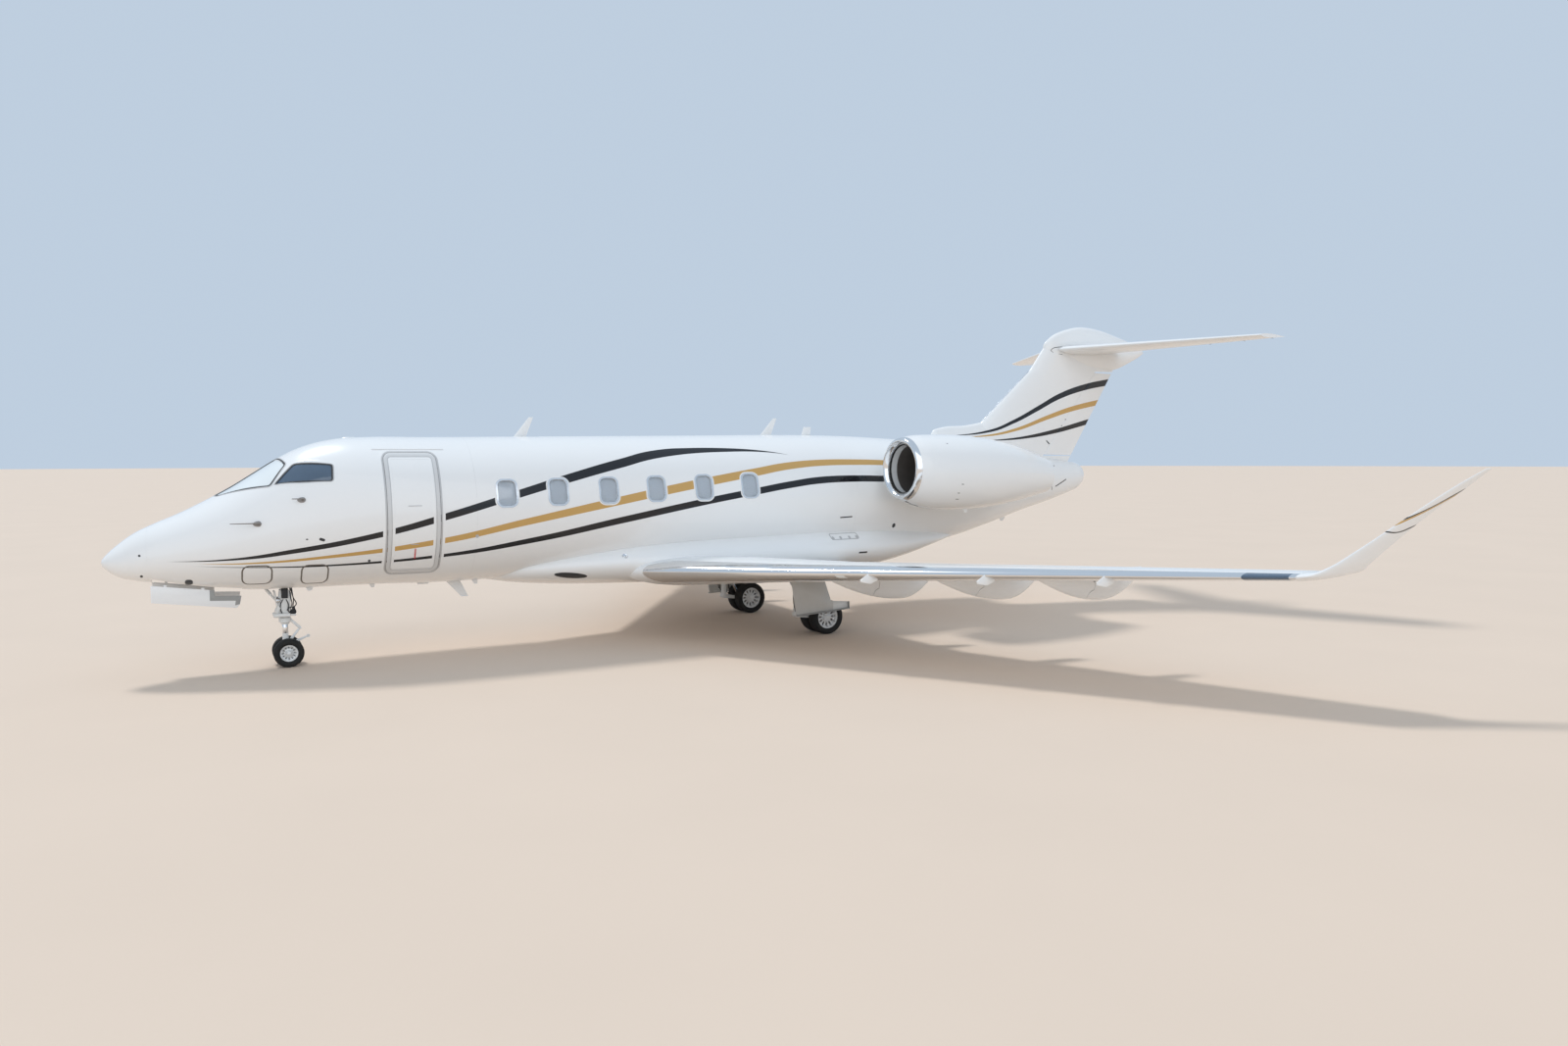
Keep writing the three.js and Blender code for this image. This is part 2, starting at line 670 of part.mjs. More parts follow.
const hingePoint = (frame, s) => frame.start.clone().addScaledVector(frame.along, s).toArray();
const hingeRod = (frame, s0, s1, r0, r1 = r0, sides = 12) =>
  rod(hingePoint(frame, s0), hingePoint(frame, s1), r0, sides, r1);

// A control surface hinged inside its own nose, with a round seat on the fixed part at each end.
function splitSurface(whole, frame, [r0, r1]) {
  const far = 1500;
  const grow = running;
  const { length } = frame;
  const seats = [[-12, -touch, r0], [length + touch, length + 12, r1]].map(([s0, s1, r]) =>
    hingeRod(frame, s0, s1, r * 0.6, r * 0.6, 10));
  const movingRegion = join(
    hingeRod(frame, 0, length, r0, r1),
    hingeBlock(frame, 0, far, 0, length, -300, 300),
  );
  const cutRegion = join(
    hingeRod(frame, -grow, length + grow, r0 + grow, r1 + grow),
    hingeBlock(frame, 0, far, -grow, length + grow, -300, 300),
  );
  return { moving: common(whole, movingRegion), fixed: join(cut(whole, cutRegion), ...seats) };
}

function canoe([y, x0, xLow, x1, zLow]) {
  const stops = [0, 0.09, 0.3, 0.62, 0.85, 1];
  const rings = stops.map((s) => {
    const x = THREE.MathUtils.lerp(x0, x1, s);
    const share = x < xLow ? (x - x0) / (xLow - x0) : (x1 - x) / (x1 - xLow);
    const depth = Math.sin((Math.PI / 2) * Math.max(share, 0.02)) ** (x < xLow ? 1 : 0.75);
    const wingZ = Math.min(chordZ(x, y), chordZ(trailX(y), y) + 200);
    const top = wingZ + 8;
    const bottom = THREE.MathUtils.lerp(wingZ - 12, zLow, depth);
    const half = canoeHalf * Math.max(0.12, Math.sin(Math.PI * Math.min(0.97, 0.5 * depth + 0.03)));
    return bodyRing([x, top, bottom, half, (top + bottom) / 2 + (top - bottom) * 0.15], 0, 8)
      .map((p) => p.setY(p.y - y));
  });
  return skinned(rings);
}

// A flap swings on a line below the wing, so its nose draws back as it goes down.
function flapFrame({ from, to, pivotDrop }) {
  const low = ([x, y]) => [x + 30, -y, chordZ(x, y) - pivotDrop];
  return hingeFrame(low(from), low(to));
}

function splitFlap(whole, name) {
  const frame = flapFrame(flaps[name]);
  const far = 2600;
  const [high, nose] = [900, -30];
  const tracks = canoes.filter((row) => row[5] === name);
  let flap = common(whole, hingeBlock(frame, nose, far, 0, frame.length, -high, high));
  let fixed = cut(whole, hingeBlock(frame, nose - running, far, -running, frame.length + running, -high, high));
  for (const track of tracks) {
    const s = (-track[0] - frame.start.y) / frame.along.y;
    const form = canoe(track);
    const [half, slotHalf] = [lug.thick / 2, lug.thick / 2 + touch];
    const arm = join(
      hingeRod(frame, s - half, s + half, lug.radius, lug.radius, 12),
      hingeBlock(frame, -110, 0, s - half, s + half, -lug.radius * 0.6, lug.radius * 0.6),
    );
    const front = cut(
      common(form, hingeBlock(frame, -far, -running, -900, frame.length + 900, -high, high)),
      hingeRod(frame, s - 250, s + 250, 62, 62, 12),
      hingeBlock(frame, nose - running, far, -running, frame.length + running, pivotClear(name), high),
    );
    const back = cut(
      common(form, hingeBlock(frame, 0, far, -900, frame.length + 900, -high, high)),
      hingeRod(frame, s - slotHalf, s + slotHalf, lug.slot, lug.slot, 12),
    );
    fixed = join(fixed, front, arm);
    flap = join(flap, back);
  }
  return { fixed, flap };
}

// The front half of a canoe reaches up past the flap's nose only ahead of it.
const pivotClear = (name) => flaps[name].pivotDrop - 170;

function makeWings() {
  const { rootY, kinkY, tipY } = wing;
  const fences = fence.places.map((y) => {
    const outline = fenceOutline.map(([x, z]) => [leadX(y) + x, leadZ(y) + z]);
    return plate(outline, -y - fence.half, -y + fence.half);
  });
  let whole = join(skinned([rootY, kinkY, 6500, tipY].map(wingRing)), ...fences);
  const lead = [
    [skinEdge.root, skinEdge.rootY], [skinEdge.tip, skinEdge.tipY],
  ];
  const slope = (lead[1][0] - lead[0][0]) / (lead[1][1] - lead[0][1]);
  const edgeX = (y) => lead[0][0] + (y - lead[0][1]) * slope;
  const outline = (shift) => [
    [-6000, 0], [edgeX(0) + shift, 0], [edgeX(10500) + shift, 10500], [-6000, 10500],
  ];
  const ahead = planPrism(outline(-touch));
  const behind = planPrism(outline(0));
  const clearOfBody = [body(touch), skinned(fairingStations.map((row) => bodyRing(row, touch, fairingSides)))];
  addPair("leading_edge", cut(common(whole, ahead), ...clearOfBody), polished);
  whole = cut(whole, behind);
  for (const name of ["inner", "outer"]) {
    const { fixed, flap } = splitFlap(whole, name);
    whole = fixed;
    addPair("flap_" + name, flap, whitePaint);
  }
  const at = ([x, y]) => [x, -y, chordZ(x, y)];
  const frame = hingeFrame(at(aileron.from), at(aileron.to));
  const radius = ([x, y]) => {
    const chord = trailX(y) - leadX(y);
    return chord * foilHeight((x - leadX(y)) / chord, wingThickness(y));
  };
  const parts = splitSurface(whole, frame, [radius(aileron.from), radius(aileron.to)]);
  addPair("aileron", parts.moving, whitePaint);
  addPair("wing", cut(parts.fixed, ...clearOfBody, legSocket()), whitePaint);
  addPair("winglet", makeWinglet(), whitePaint);
}

// An outline in X and Y outboard, on the left side, through all heights.
function planPrism(outline) {
  const shape = new THREE.Shape(outline.map(([x, y]) => new THREE.Vector2(x, -y)));
  const geometry = new THREE.ExtrudeGeometry(shape, { depth: 12000, bevelEnabled: false });
  return toSolid(geometry.translate(0, 0, -4000));
}

function makeWinglet() {
  const rings = winglet.map(([front, y, z, chord, thickness, lean]) => {
    const a = THREE.MathUtils.degToRad(lean);
    const place = (x, up) => new THREE.Vector3(x, -y + up * Math.sin(a), z + up * Math.cos(a));
    return foilRing(front, chord, thickness / chord, place);
  });
  return skinned(rings);
}

// Tail
function finRing([z, front, back, half]) {
  const chord = back - front;
  return foilRing(front, chord, (2 * half) / chord, (x, up) => new THREE.Vector3(x, up, z));
}

function makeFin() {
  const blade = skinned(finStations.map(finRing));
  const whole = join(
    blade,
    skinned(spine.map((row) => bodyRing(row, 0, 8))),
    skinned(bullet.map((row) => bodyRing(row, 0, 12))),
  );
  const { low, high } = rudderHinge;
  const frame = hingeFrame([low[0], 0, low[1]], [high[0], 0, high[1]]);
  const radiusAt = ([x, z]) => {
    const lowRow = finStations.findLast((row) => row[0] <= z);
    const highRow = finStations[finStations.indexOf(lowRow) + 1];
    const mix = (k) => THREE.MathUtils.mapLinear(z, lowRow[0], highRow[0], lowRow[k], highRow[k]);
    const chord = mix(2) - mix(1);
    return chord * foilHeight((x - mix(1)) / chord, (2 * mix(3)) / chord);
  };
  const rudderZone = plate([
    [6900, rudder.foot + rudder.footRise], [8400, rudder.foot], [9600, rudder.foot],
    [9600, rudder.top], [6900, rudder.top],
  ], -600, 600);
  const gapZone = block(6900, 9600, -600, 600, rudder.foot - rudder.footGap, rudder.top + rudder.topGap);
  const radii = [radiusAt(low), radiusAt(high)];
  const long = longer(frame, 400);
  const ends = [radii[0] * 1.05, radii[1] * 0.95];
  const moving = common(splitSurface(whole, long, ends).moving, rudderZone);
  const { reach: pinReach, radius: pinRadius, clear } = rudderPin;
  const pinsOf = (grow) => [0, frame.length].map((s) =>
    hingeRod(frame, s - pinReach - grow, s + pinReach + grow, pinRadius + grow));
  const fixedColumn = common(cut(whole, cutForRudder(long, ends)), gapZone);
  const rest = cut(whole, gapZone);
  const tubeHole = rod([tail.pivot, -400, tail.z], [tail.pivot, 400, tail.z], tail.tube + 0.9, 20);
  addMesh("rudder", cut(moving, ...pinsOf(clear)), whitePaint);
  addMesh("fin", cut(join(rest, fixedColumn, ...pinsOf(0)), body(touch), tubeHole), whitePaint);
}

const cutForRudder = (frame, [r0, r1]) =>
  join(
    hingeRod(frame, 0, frame.length, r0 + running, r1 + running),
    hingeBlock(frame, 0, 1500, 0, frame.length, -300, 300),
  );

// The same hinge line, longer at both ends.
function longer(frame, extra) {
  const start = frame.start.clone().addScaledVector(frame.along, -extra);
  const end = frame.end.clone().addScaledVector(frame.along, extra);
  return { ...frame, start, end, length: frame.length + 2 * extra };
}

const tailFront = (y) => THREE.MathUtils.mapLinear(y, tail.rootY, tail.tipY, tail.rootFront, tail.tipFront);
const tailBack = (y) => THREE.MathUtils.mapLinear(y, tail.rootY, tail.tipY, tail.rootBack, tail.tipBack);
const tailZ = (y) => tail.z + (y - tail.rootY) * tail.rise;

function makeStabilizer() {
  const ring = (y) => {
    const chord = tailBack(y) - tailFront(y);
    return foilRing(tailFront(y), chord, tail.thickness, (x, up) => new THREE.Vector3(x, -y, tailZ(y) + up));
  };
  const half = skinned([tail.rootY, tail.tipY].map(ring));
  const hingeX = (y) => THREE.MathUtils.lerp(tailFront(y), tailBack(y), tail.hingeShare);
  const at = (y) => [hingeX(y), -y, tailZ(y)];
  const frame = hingeFrame(at(elevator.inner), at(elevator.outer));
  const radius = (y) => (tailBack(y) - tailFront(y)) * foilHeight(tail.hingeShare, tail.thickness);
  const radii = [radius(elevator.inner), radius(elevator.outer)];
  const parts = splitSurface(half, frame, radii);
  const { fixed } = parts;
  const tubeLength = tail.rootY + 30;
  const torqueTube = rod([tail.pivot, -tubeLength, tail.z], [tail.pivot, tubeLength, tail.z], tail.tube, 20);
  addMesh("stabilizer", join(fixed, mirrored(fixed), torqueTube), whitePaint);
  addPair("elevator", parts.moving, whitePaint);
}

// Engines
function makeEngines() {
  const { y } = engine;
  const outer = nacelleOuter;
  const inner = [...nacelleInner].reverse();
  const shell = cut(
    tube(outer, -y, nacelleSides),
    tube([[inner[0][0] - 1, inner[0][1], inner[0][2]], ...inner.slice(1, -1),
      [inner.at(-1)[0] + 1, inner.at(-1)[1], inner.at(-1)[2]]], -y, nacelleSides),
  );
  addPair("nacelle", shell, whitePaint);
  addPair("inlet_lip", inletLip(), polished);
  addPair("fan", fanWheel(), engineMetal);
  const core = tube(coreStations.map(([x, r]) => [x, r, coreZ(x)]), -y, 16);
  const struts = [0, 1, 2, 3].map((i) => engineStrut(i * 90 + 45));
  addPair("engine_core", cut(join(core, ...struts), nacelleClear()), engineMetal);
  const pylon = skinned(pylonSections.map(([side, front, back, thick]) => {
    const chord = back - front;
    return foilRing(front, chord, thick / chord, (x, up) => new THREE.Vector3(x, -side, pylonZ + up));
  }));
  const grown = tube(outer.map(([x, r, z]) => [x, r + touch, z]), -y, nacelleSides);
  addPair("pylon", cut(pylon, body(touch), grown), whitePaint);
}

const coreZ = (x) => THREE.MathUtils.mapLinear(x, 2860, 5640, 2914, 2832);

// Everything outside the nacelle's duct, less the touching gap.
function nacelleClear() {
  const duct = tube([...nacelleInner].reverse().map(([x, r, z]) => [x, r - touch, z]), -engine.y, nacelleSides);
  const longDuct = join(duct, tube([[5479, 329, 2830], [5700, 329, 2830]], -engine.y, nacelleSides));
  return cut(block(2000, 5700, -engine.y - 900, -engine.y + 900, 1900, 3900), longDuct);
}

function engineStrut(angle) {
  const a = THREE.MathUtils.degToRad(angle);
  const centreZ = coreZ(strut.x);
  const geometry = new THREE.BoxGeometry(strut.chord, 700, strut.thick);
  geometry.translate(0, 350, 0);
  geometry.rotateX(a);
  return toSolid(geometry.translate(strut.x, -engine.y, centreZ));
}

function inletLip() {
  const { y, lipZ } = engine;
  const [seamX, seamR, seamZ] = nacelleOuter[0];
  const innerR = nacelleInner.at(-1)[1];
  const profile = [[seamX - touch, seamR], ...lipProfile, [seamX - touch, innerR]];
  const droop = (x) => THREE.MathUtils.mapLinear(x, lipProfile[1][0], seamX, lipZ, seamZ);
  const rings = [...profile, profile[0]].map(([x, r]) => tubeRing([x, r, droop(x)], -y, nacelleSides));
  const sides = nacelleSides;
  const positions = rings.slice(0, -1).flat().flatMap((p) => [p.x, p.y, p.z]);
  const index = [];
  const count = rings.length - 1;
  for (let r = 0; r < count; r++) {
    for (let i = 0; i < sides; i++) {
      const a = r * sides + i;
      const b = r * sides + ((i + 1) % sides);
      const c = ((r + 1) % count) * sides + ((i + 1) % sides);
      const d = ((r + 1) % count) * sides + i;
      index.push(a, b, c, a, c, d);
    }
  }
  const geometry = new THREE.BufferGeometry();
  geometry.setAttribute("position", new THREE.Float32BufferAttribute(positions, 3));
  geometry.setIndex(index);
  return toSolid(geometry);
}

function fanWheel() {
  const { y, fanX } = engine;
  const z = coreZ(fanX);
  const back = coreStations[0][0] - touch;
  const hub = tube([[fanX - fan.spinner, 8, z], [fanX - 120, 78, z], [fanX, fan.hub, z], [back, fan.hub, z]], -y, 12);
  const blades = [];
  for (let i = 0; i < fan.blades; i++) {
    const blade = new THREE.BoxGeometry(10, fan.radius - fan.hub + 30, fan.depth, 1, 1, 1);
    blade.rotateY(Math.PI / 2);
    const points = blade.attributes.position;
    for (let k = 0; k < points.count; k++) {
      const outer = points.getY(k) > 0;
      const turn = THREE.MathUtils.degToRad(outer ? 58 : 25);
      const [px, pz] = [points.getX(k), points.getZ(k)];
      points.setX(k, px * Math.cos(turn) - pz * Math.sin(turn));
      points.setZ(k, px * Math.sin(turn) + pz * Math.cos(turn));
    }
    blade.translate(0, (fan.radius + fan.hub - 30) / 2, 0);
    blade.rotateX((2 * Math.PI * i) / fan.blades);
    blades.push(toSolid(blade.translate(fanX + 45, -y, z)));
  }
  return join(hub, ...blades);
}

// Landing gear
const wheelSides = 16;

function tyreSolid({ axleZ, tyreWidth, tyreRadius, rimRadius }, x, y) {
  const [w, r, rim] = [tyreWidth / 2, tyreRadius, rimRadius];
  const half = [[w * 0.72, rim + touch], [w, (r + rim) / 2], [w * 0.55, r]];
  const profile = [...half.map(([along, radius]) => [-along, radius]), ...half.reverse()];
  return turnedAlongY(profile.map(([along, radius]) => [along + y, radius]), x, axleZ);
}

// Two rims on the axle that turns with them.
function wheelPair({ axleZ, wheelY, tyreWidth, rimRadius, axleRadius }, x, y) {
  const w = tyreWidth * 0.34;
  const half = [
    [wheelY - w, axleRadius], [wheelY - w, rimRadius], [wheelY + w, rimRadius], [wheelY + w * 0.2, rimRadius - 30],
    [wheelY + w * 0.2, axleRadius + 20], [wheelY + w * 0.85, axleRadius + 14], [wheelY + w * 0.85, 0],
  ];
  const profile = [...[...half].reverse().map(([along, radius]) => [-along, radius]), ...half];
  return turnedAlongY(profile.map(([along, radius]) => [along + y, radius]), x, axleZ);
}

function makeNoseGear() {
  const g = noseGear;
  const legTop = bay.slotTop - 40;
  const width = bay.slotHalf - touch;
  const leg = join(
    rod([g.x, 0, g.legFoot], [g.x, 0, legTop], g.legRadius, 16),
    rod([g.x, -width, legTop - 50], [g.x, width, legTop - 50], 34, 8),
    rod([g.x - 40, 0, 900], [-8470, 0, 1330], 27, 8),
    rod([-8470, -width, 1330], [-8470, width, 1330], 24, 8),
  );
  addMesh("nose_leg", leg, gearMetal);
  const collarBore = rod([g.x, 0, 600], [g.x, 0, 800], g.legRadius + 2, 16);
  const collar = cut(rod([g.x, 0, 672], [g.x, 0, 742], g.legRadius + 26, 16), collarBore);
  const link = (points) => plate(points, -26, 26);
  const upper = link([[g.x + 72, 735], [g.x + 72, 680], [g.x + 205, 545], [g.x + 215, 590]]);
  const lower = link([[g.x + 215, 590], [g.x + 190, 545], [g.x + 35, 330], [g.x + 35, 390]]);
  const towBar = plate([[g.axleX, 300], [g.axleX + 300, 425], [g.axleX + 290, 450], [g.axleX, 345]], -22, 22);
  const legRoom = rod([g.x, 0, g.legFoot - touch], [g.x, 0, 672], g.legRadius + 12, 16);
  const axleHole = rod([g.axleX, -300, g.axleZ], [g.axleX, 300, g.axleZ], g.axleRadius + 0.85, wheelSides);
  const fork = cut(
    join(
      cut(join(upper, lower), legRoom),
      collar,
      rod([g.x, 0, 290], [g.x, 0, g.legFoot - touch], g.pistonRadius, 14),
      block(g.x - 60, g.axleX + 60, -50, 50, 165, 345),
      towBar,
    ),
    axleHole,
  );
  addMesh("nose_fork", fork, gearMetal);
  addMesh("nose_wheels", wheelPair(g, g.axleX, 0), gearMetal);
  for (const [name, side] of [["left", -1], ["right", 1]]) {
    addMesh("nose_tyre_" + name, tyreSolid(g, g.axleX, side * g.wheelY), rubber);
  }
}

function makeMainGear() {
  const g = mainGear;
  const legTop = 1500;
  const outside = -panelY - 5;
  const axleHole = rod([g.x, -g.y - 300, g.axleZ], [g.x, -g.y + 300, g.axleZ], g.axleRadius + 0.85, wheelSides);
  const fixed = cut(
    join(
      rod([g.legX, -g.y, g.kneeZ], [g.legX + 30, -g.y, legTop], 62, 12),
      rod([g.legX, -g.y - 75, g.kneeZ], [g.legX, -g.y + 75, g.kneeZ], 52, 10),
      rod([g.legX, -g.y, g.kneeZ], [g.x, -g.y, g.axleZ], 44, 8),
      rod([g.x, -g.y - 48, g.axleZ], [g.x, -g.y + 48, g.axleZ], 66, 12),
      rod([g.legX + 20, -g.y, 960], [430, -g.y, 335], 38, 8),
      rod([g.legX + 20, -g.y, 820], [g.legX + 20, outside, 800], 20, 6),
      rod([g.legX, -g.y, 470], [g.legX, outside, 470], 20, 6),
      plate(legPanel, -panelY - 16, -panelY),
    ),
    axleHole,
  );
  addPair("main_leg", common(fixed, block(-1500, 1500, -3000, -500, -500, legCeiling)), gearMetal);
  addPair("main_wheels", wheelPair(g, g.x, -g.y), gearMetal);
  for (const [name, side] of [["left", -1], ["right", 1]]) {
    for (const [place, out] of [["outer", 1], ["inner", -1]]) {
      addMesh(`main_tyre_${name}_${place}`, tyreSolid(g, g.x, side * (g.y + out * g.wheelY)), rubber);
    }
  }
}

// The leg enters the wing's underside by a round socket.
function legSocket() {
  const g = mainGear;
  const at = (z) => [g.legX + (30 * (z - g.kneeZ)) / (1500 - g.kneeZ), -g.y, z];
  return rod(at(700), at(legCeiling + 4), 62 + touch * 2, 12);
}

// Nose gear doors, hung open from rails along the bay's edges
const noseDoorFrame = () => {
  const at = (x) => [x, -noseDoor.y, noseDoor.hingeZ + (x - noseDoor.front) * noseDoor.slope];
  return hingeFrame(at(noseDoor.front), at(noseDoor.rear));
};

// Each hinge is a pair of eyes end to end, the first on the rail and the second on the door.
function noseDoorEyes(onDoor) {
  const frame = noseDoorFrame();
  return noseDoor.hinges.map((x) => {
    const s = x - noseDoor.front + (onDoor ? touch : -noseDoor.eye);
    const [from, to] = [hingePoint(frame, s), hingePoint(frame, s + noseDoor.eye - touch)];
    const [y0, z0] = [from[1], (from[2] + to[2]) / 2];
    const tab = onDoor
      ? block(from[0], to[0], y0 - 6, y0 + 6, z0 - 30, z0 - 4)
      : block(from[0], to[0], y0 - 6, y0 + 6, z0 + 4, z0 + 30);
    return join(rod(from, to, noseDoor.eyeRadius, 10), tab);
  });
}

function bayRails() {
  const rail = plate(bayRail, -bayRailOut, -bay.half);
  const fixed = [common(rail, shellOver()), ...noseDoorEyes(false)];
  return [...fixed, ...fixed.map(mirrored)];
}

// The rails stop short of the radome.
const shellOver = () => block(radomeSeam, bay.step, -reach, reach, 0, reach);

function makeNoseDoors() {
  addPair("nose_gear_door", join(plate(noseDoor.outline, -noseDoor.y - 6, -noseDoor.y + 6), ...noseDoorEyes(true)), whitePaint);
}

makeBody();
makeDoor();
makeGlazing();
makeCabinWindows();
makeInterior();
makeFairing();
makeWings();
makeFin();
makeStabilizer();
makeEngines();
makeNoseGear();
makeMainGear();
makeNoseDoors();

export default aircraft;
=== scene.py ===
import math

import bpy
import numpy as np
from mathutils import Matrix, Vector


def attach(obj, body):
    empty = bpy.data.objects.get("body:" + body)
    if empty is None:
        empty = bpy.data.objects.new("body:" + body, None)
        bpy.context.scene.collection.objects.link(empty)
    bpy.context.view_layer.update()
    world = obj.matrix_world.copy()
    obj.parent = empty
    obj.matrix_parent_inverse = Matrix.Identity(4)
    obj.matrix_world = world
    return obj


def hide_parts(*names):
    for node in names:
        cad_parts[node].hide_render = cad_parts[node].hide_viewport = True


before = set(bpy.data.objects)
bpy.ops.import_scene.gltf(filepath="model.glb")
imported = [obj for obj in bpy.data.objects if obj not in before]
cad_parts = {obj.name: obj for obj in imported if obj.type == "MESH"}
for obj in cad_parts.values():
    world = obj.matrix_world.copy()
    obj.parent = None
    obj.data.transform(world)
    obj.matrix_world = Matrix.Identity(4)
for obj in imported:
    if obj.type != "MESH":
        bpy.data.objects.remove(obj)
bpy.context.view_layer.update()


# Camera
view = {
    "place": (-9.1885, -17.5923, 3.1729), "turn": (86.4265, 0.0968, -29.2682), "lens": 23.89, "sensor": 36,
}
camera = bpy.data.objects.new("camera", bpy.data.cameras.new("camera"))
camera.location = view["place"]
camera.rotation_euler = [math.radians(a) for a in view["turn"]]
camera.data.lens = view["lens"]
camera.data.sensor_width = view["sensor"]
camera.data.clip_end = 900
bpy.context.scene.collection.objects.link(camera)
bpy.context.scene.camera = camera


# Small tools of the workshop
def clear():
    if bpy.context.object and bpy.context.object.mode != "OBJECT":
        bpy.ops.object.mode_set(mode="OBJECT")
    bpy.ops.object.select_all(action="DESELECT")


def only(*pieces):
    clear()
    for piece in pieces:
        piece.select_set(True)
    bpy.context.view_layer.objects.active = pieces[0]
    return pieces[0]


def edit(piece, kind="VERT"):
    only(piece)
    bpy.ops.object.mode_set(mode="EDIT")
    bpy.ops.mesh.select_mode(type=kind)
    bpy.ops.mesh.select_all(action="SELECT")


def tidy(piece, fill=True):
    edit(piece)
    bpy.ops.mesh.remove_doubles(threshold=0.00002)
    if fill:
        bpy.ops.mesh.fill_holes(sides=0)
        bpy.ops.mesh.select_all(action="SELECT")
    bpy.ops.mesh.normals_make_consistent(inside=False)
    clear()
    return piece


def renamed(piece, name):
    piece.name = piece.data.name = name
    return piece


def named(name):
    return renamed(bpy.context.object, name)


# A grid whose rows are laid on a list of rings; wrap joins the last ring to the first.
def loft(name, rings, wrap=False, fill=True):
    rows = [list(ring) + [ring[0]] for ring in rings]
    if wrap:
        rows.append(rows[0])
    clear()
    bpy.ops.mesh.primitive_grid_add(x_subdivisions=len(rows[0]) - 1, y_subdivisions=len(rows) - 1, size=1)
    piece = named(name)
    piece.data.vertices.foreach_set("co", np.array(rows, dtype=float).reshape(-1))
    piece.data.update()
    return tidy(piece, fill)


# A closed outline pushed along a vector.
def prism(name, outline, push):
    return loft(name, [outline, [Vector(p) + Vector(push) for p in outline]])


def apply(piece, kind, **values):
    only(piece)
    modifier = piece.modifiers.new("step", kind)
    for key, value in values.items():
        setattr(modifier, key, value)
    bpy.ops.object.modifier_apply(modifier=modifier.name)
    return piece


# Cuts a piece with tools, or joins or crosses it with them, and removes the tools.
def carve(piece, *tools, operation="DIFFERENCE"):
    for tool in tools:
        apply(piece, "BOOLEAN", operation=operation, solver="EXACT", object=tool)
        bpy.data.objects.remove(tool)
    return piece


# The part of a piece inside a tool, taken out of it as a piece of its own.
def takenFrom(piece, name, makeTool):
    part = carve(copyOf(piece, name), makeTool(), operation="INTERSECT")
    carve(piece, makeTool())
    return part


def copyOf(piece, name):
    other = piece.copy()
    other.data = piece.data.copy()
    bpy.context.scene.collection.objects.link(other)
    return renamed(other, name)


def mirrored(piece, name):
    other = copyOf(piece, name)
    other.data.transform(Matrix.Diagonal((1, -1, 1, 1)))
    other.data.flip_normals()
    return other


def joined(pieces, name):
    only(*pieces)
    if len(pieces) > 1:
        bpy.ops.object.join()
    return named(name)


def smooth(piece, angle=30):
    only(piece)
    bpy.ops.object.shade_smooth_by_angle(angle=math.radians(angle))
    return piece


# Gives a piece its finish, the body that it rides on and the nodes that it stands for.
def fit(piece, body, material, *nodes, slot=None, angle=30):
    smooth(piece, angle)
    if material:
        piece.data.materials.clear()
        piece.data.materials.append(material)
    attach(piece, body)
    if nodes:
        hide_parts(*nodes)
    return piece


def fitJoined(name, parts, material, *nodes, body="airframe", slot=None):
    return fit(joined(parts, name), body, material, *nodes, slot=slot)


# A piece of the left side and its mirror image on the right.
def pair(piece, name, material, body="airframe", node=None, slot=None):
    for side in ("left", "right"):
        shown = piece if side == "left" else mirrored(piece, "right")
        nodes = [node.format(side)] if node else []
        fit(renamed(shown, name + "_" + side), body.format(side), material, *nodes, slot=slot)


def turns(sides):
    return [2 * math.pi * k / sides for k in range(sides)]


# Values of a table at a place between two of its rows.
def lookUp(rows, place, *columns):
    at = [row[0] for row in rows]
    return [float(np.interp(place, at, [row[k] for row in rows])) for k in columns]


# A turned part: its profile holds (distance along the axis, radius).
def turned(name, profile, start, way, sides=40, wrap=False):
    way = Vector(way).normalized()
    side = (Vector((0, 0, 1)) if abs(way.z) < 0.9 else Vector((1, 0, 0))).cross(way).normalized()
    up = way.cross(side)
    rings = []
    for along, radius in profile:
        centre = Vector(start) + way * along
        rings.append([centre + (side * math.cos(a) + up * math.sin(a)) * radius for a in turns(sides)])
    return loft(name, rings, wrap)


# A rod with softened ends, which may taper.
def rod(a, b, radius, endRadius=None, sides=24, edge=0.003):
    r1 = radius if endRadius is None else endRadius
    length = (Vector(b) - Vector(a)).length
    profile = [(0, radius - edge), (edge, radius), (length - edge, r1), (length, r1 - edge)]
    return turned("rod", profile, a, Vector(b) - Vector(a), sides)


# A tube along a smooth line through points.
def hose(points, radius, sides=10, steps=6):
    path = [Vector(p[:3]) for p in smoothRows([tuple(p) for p in points], steps)]
    side, rings = None, []
    for i, p in enumerate(path):
        way = (path[min(i + 1, len(path) - 1)] - path[max(i - 1, 0)]).normalized()
        side = (way.orthogonal() if side is None else side - way * side.dot(way)).normalized()
        up = way.cross(side)
        rings.append([p + (side * math.cos(a) + up * math.sin(a)) * radius for a in turns(sides)])
    return loft("hose", rings)


# A plate with softened edges: its outline holds (x, z), and it lies between two places in Y.
def plate(outline, y0, y1, edge=0.003):
    piece = prism("plate", [(x, y0, z) for x, z in outline], (0, y1 - y0, 0))
    return apply(piece, "BEVEL", width=edge, segments=2, limit_method="ANGLE", angle_limit=math.radians(25))


# A block with softened edges.
def lump(x0, x1, y0, y1, z0, z1, edge=0.008):
    return plate([(x0, z0), (x1, z0), (x1, z1), (x0, z1)], y0, y1, edge)


# A pin across the part, from one side of y to the other.
def pin(x, y, z, half, radius, sides=24, edge=0.003):
    return rod((x, y - half, z), (x, y + half, z), radius, sides=sides, edge=edge)


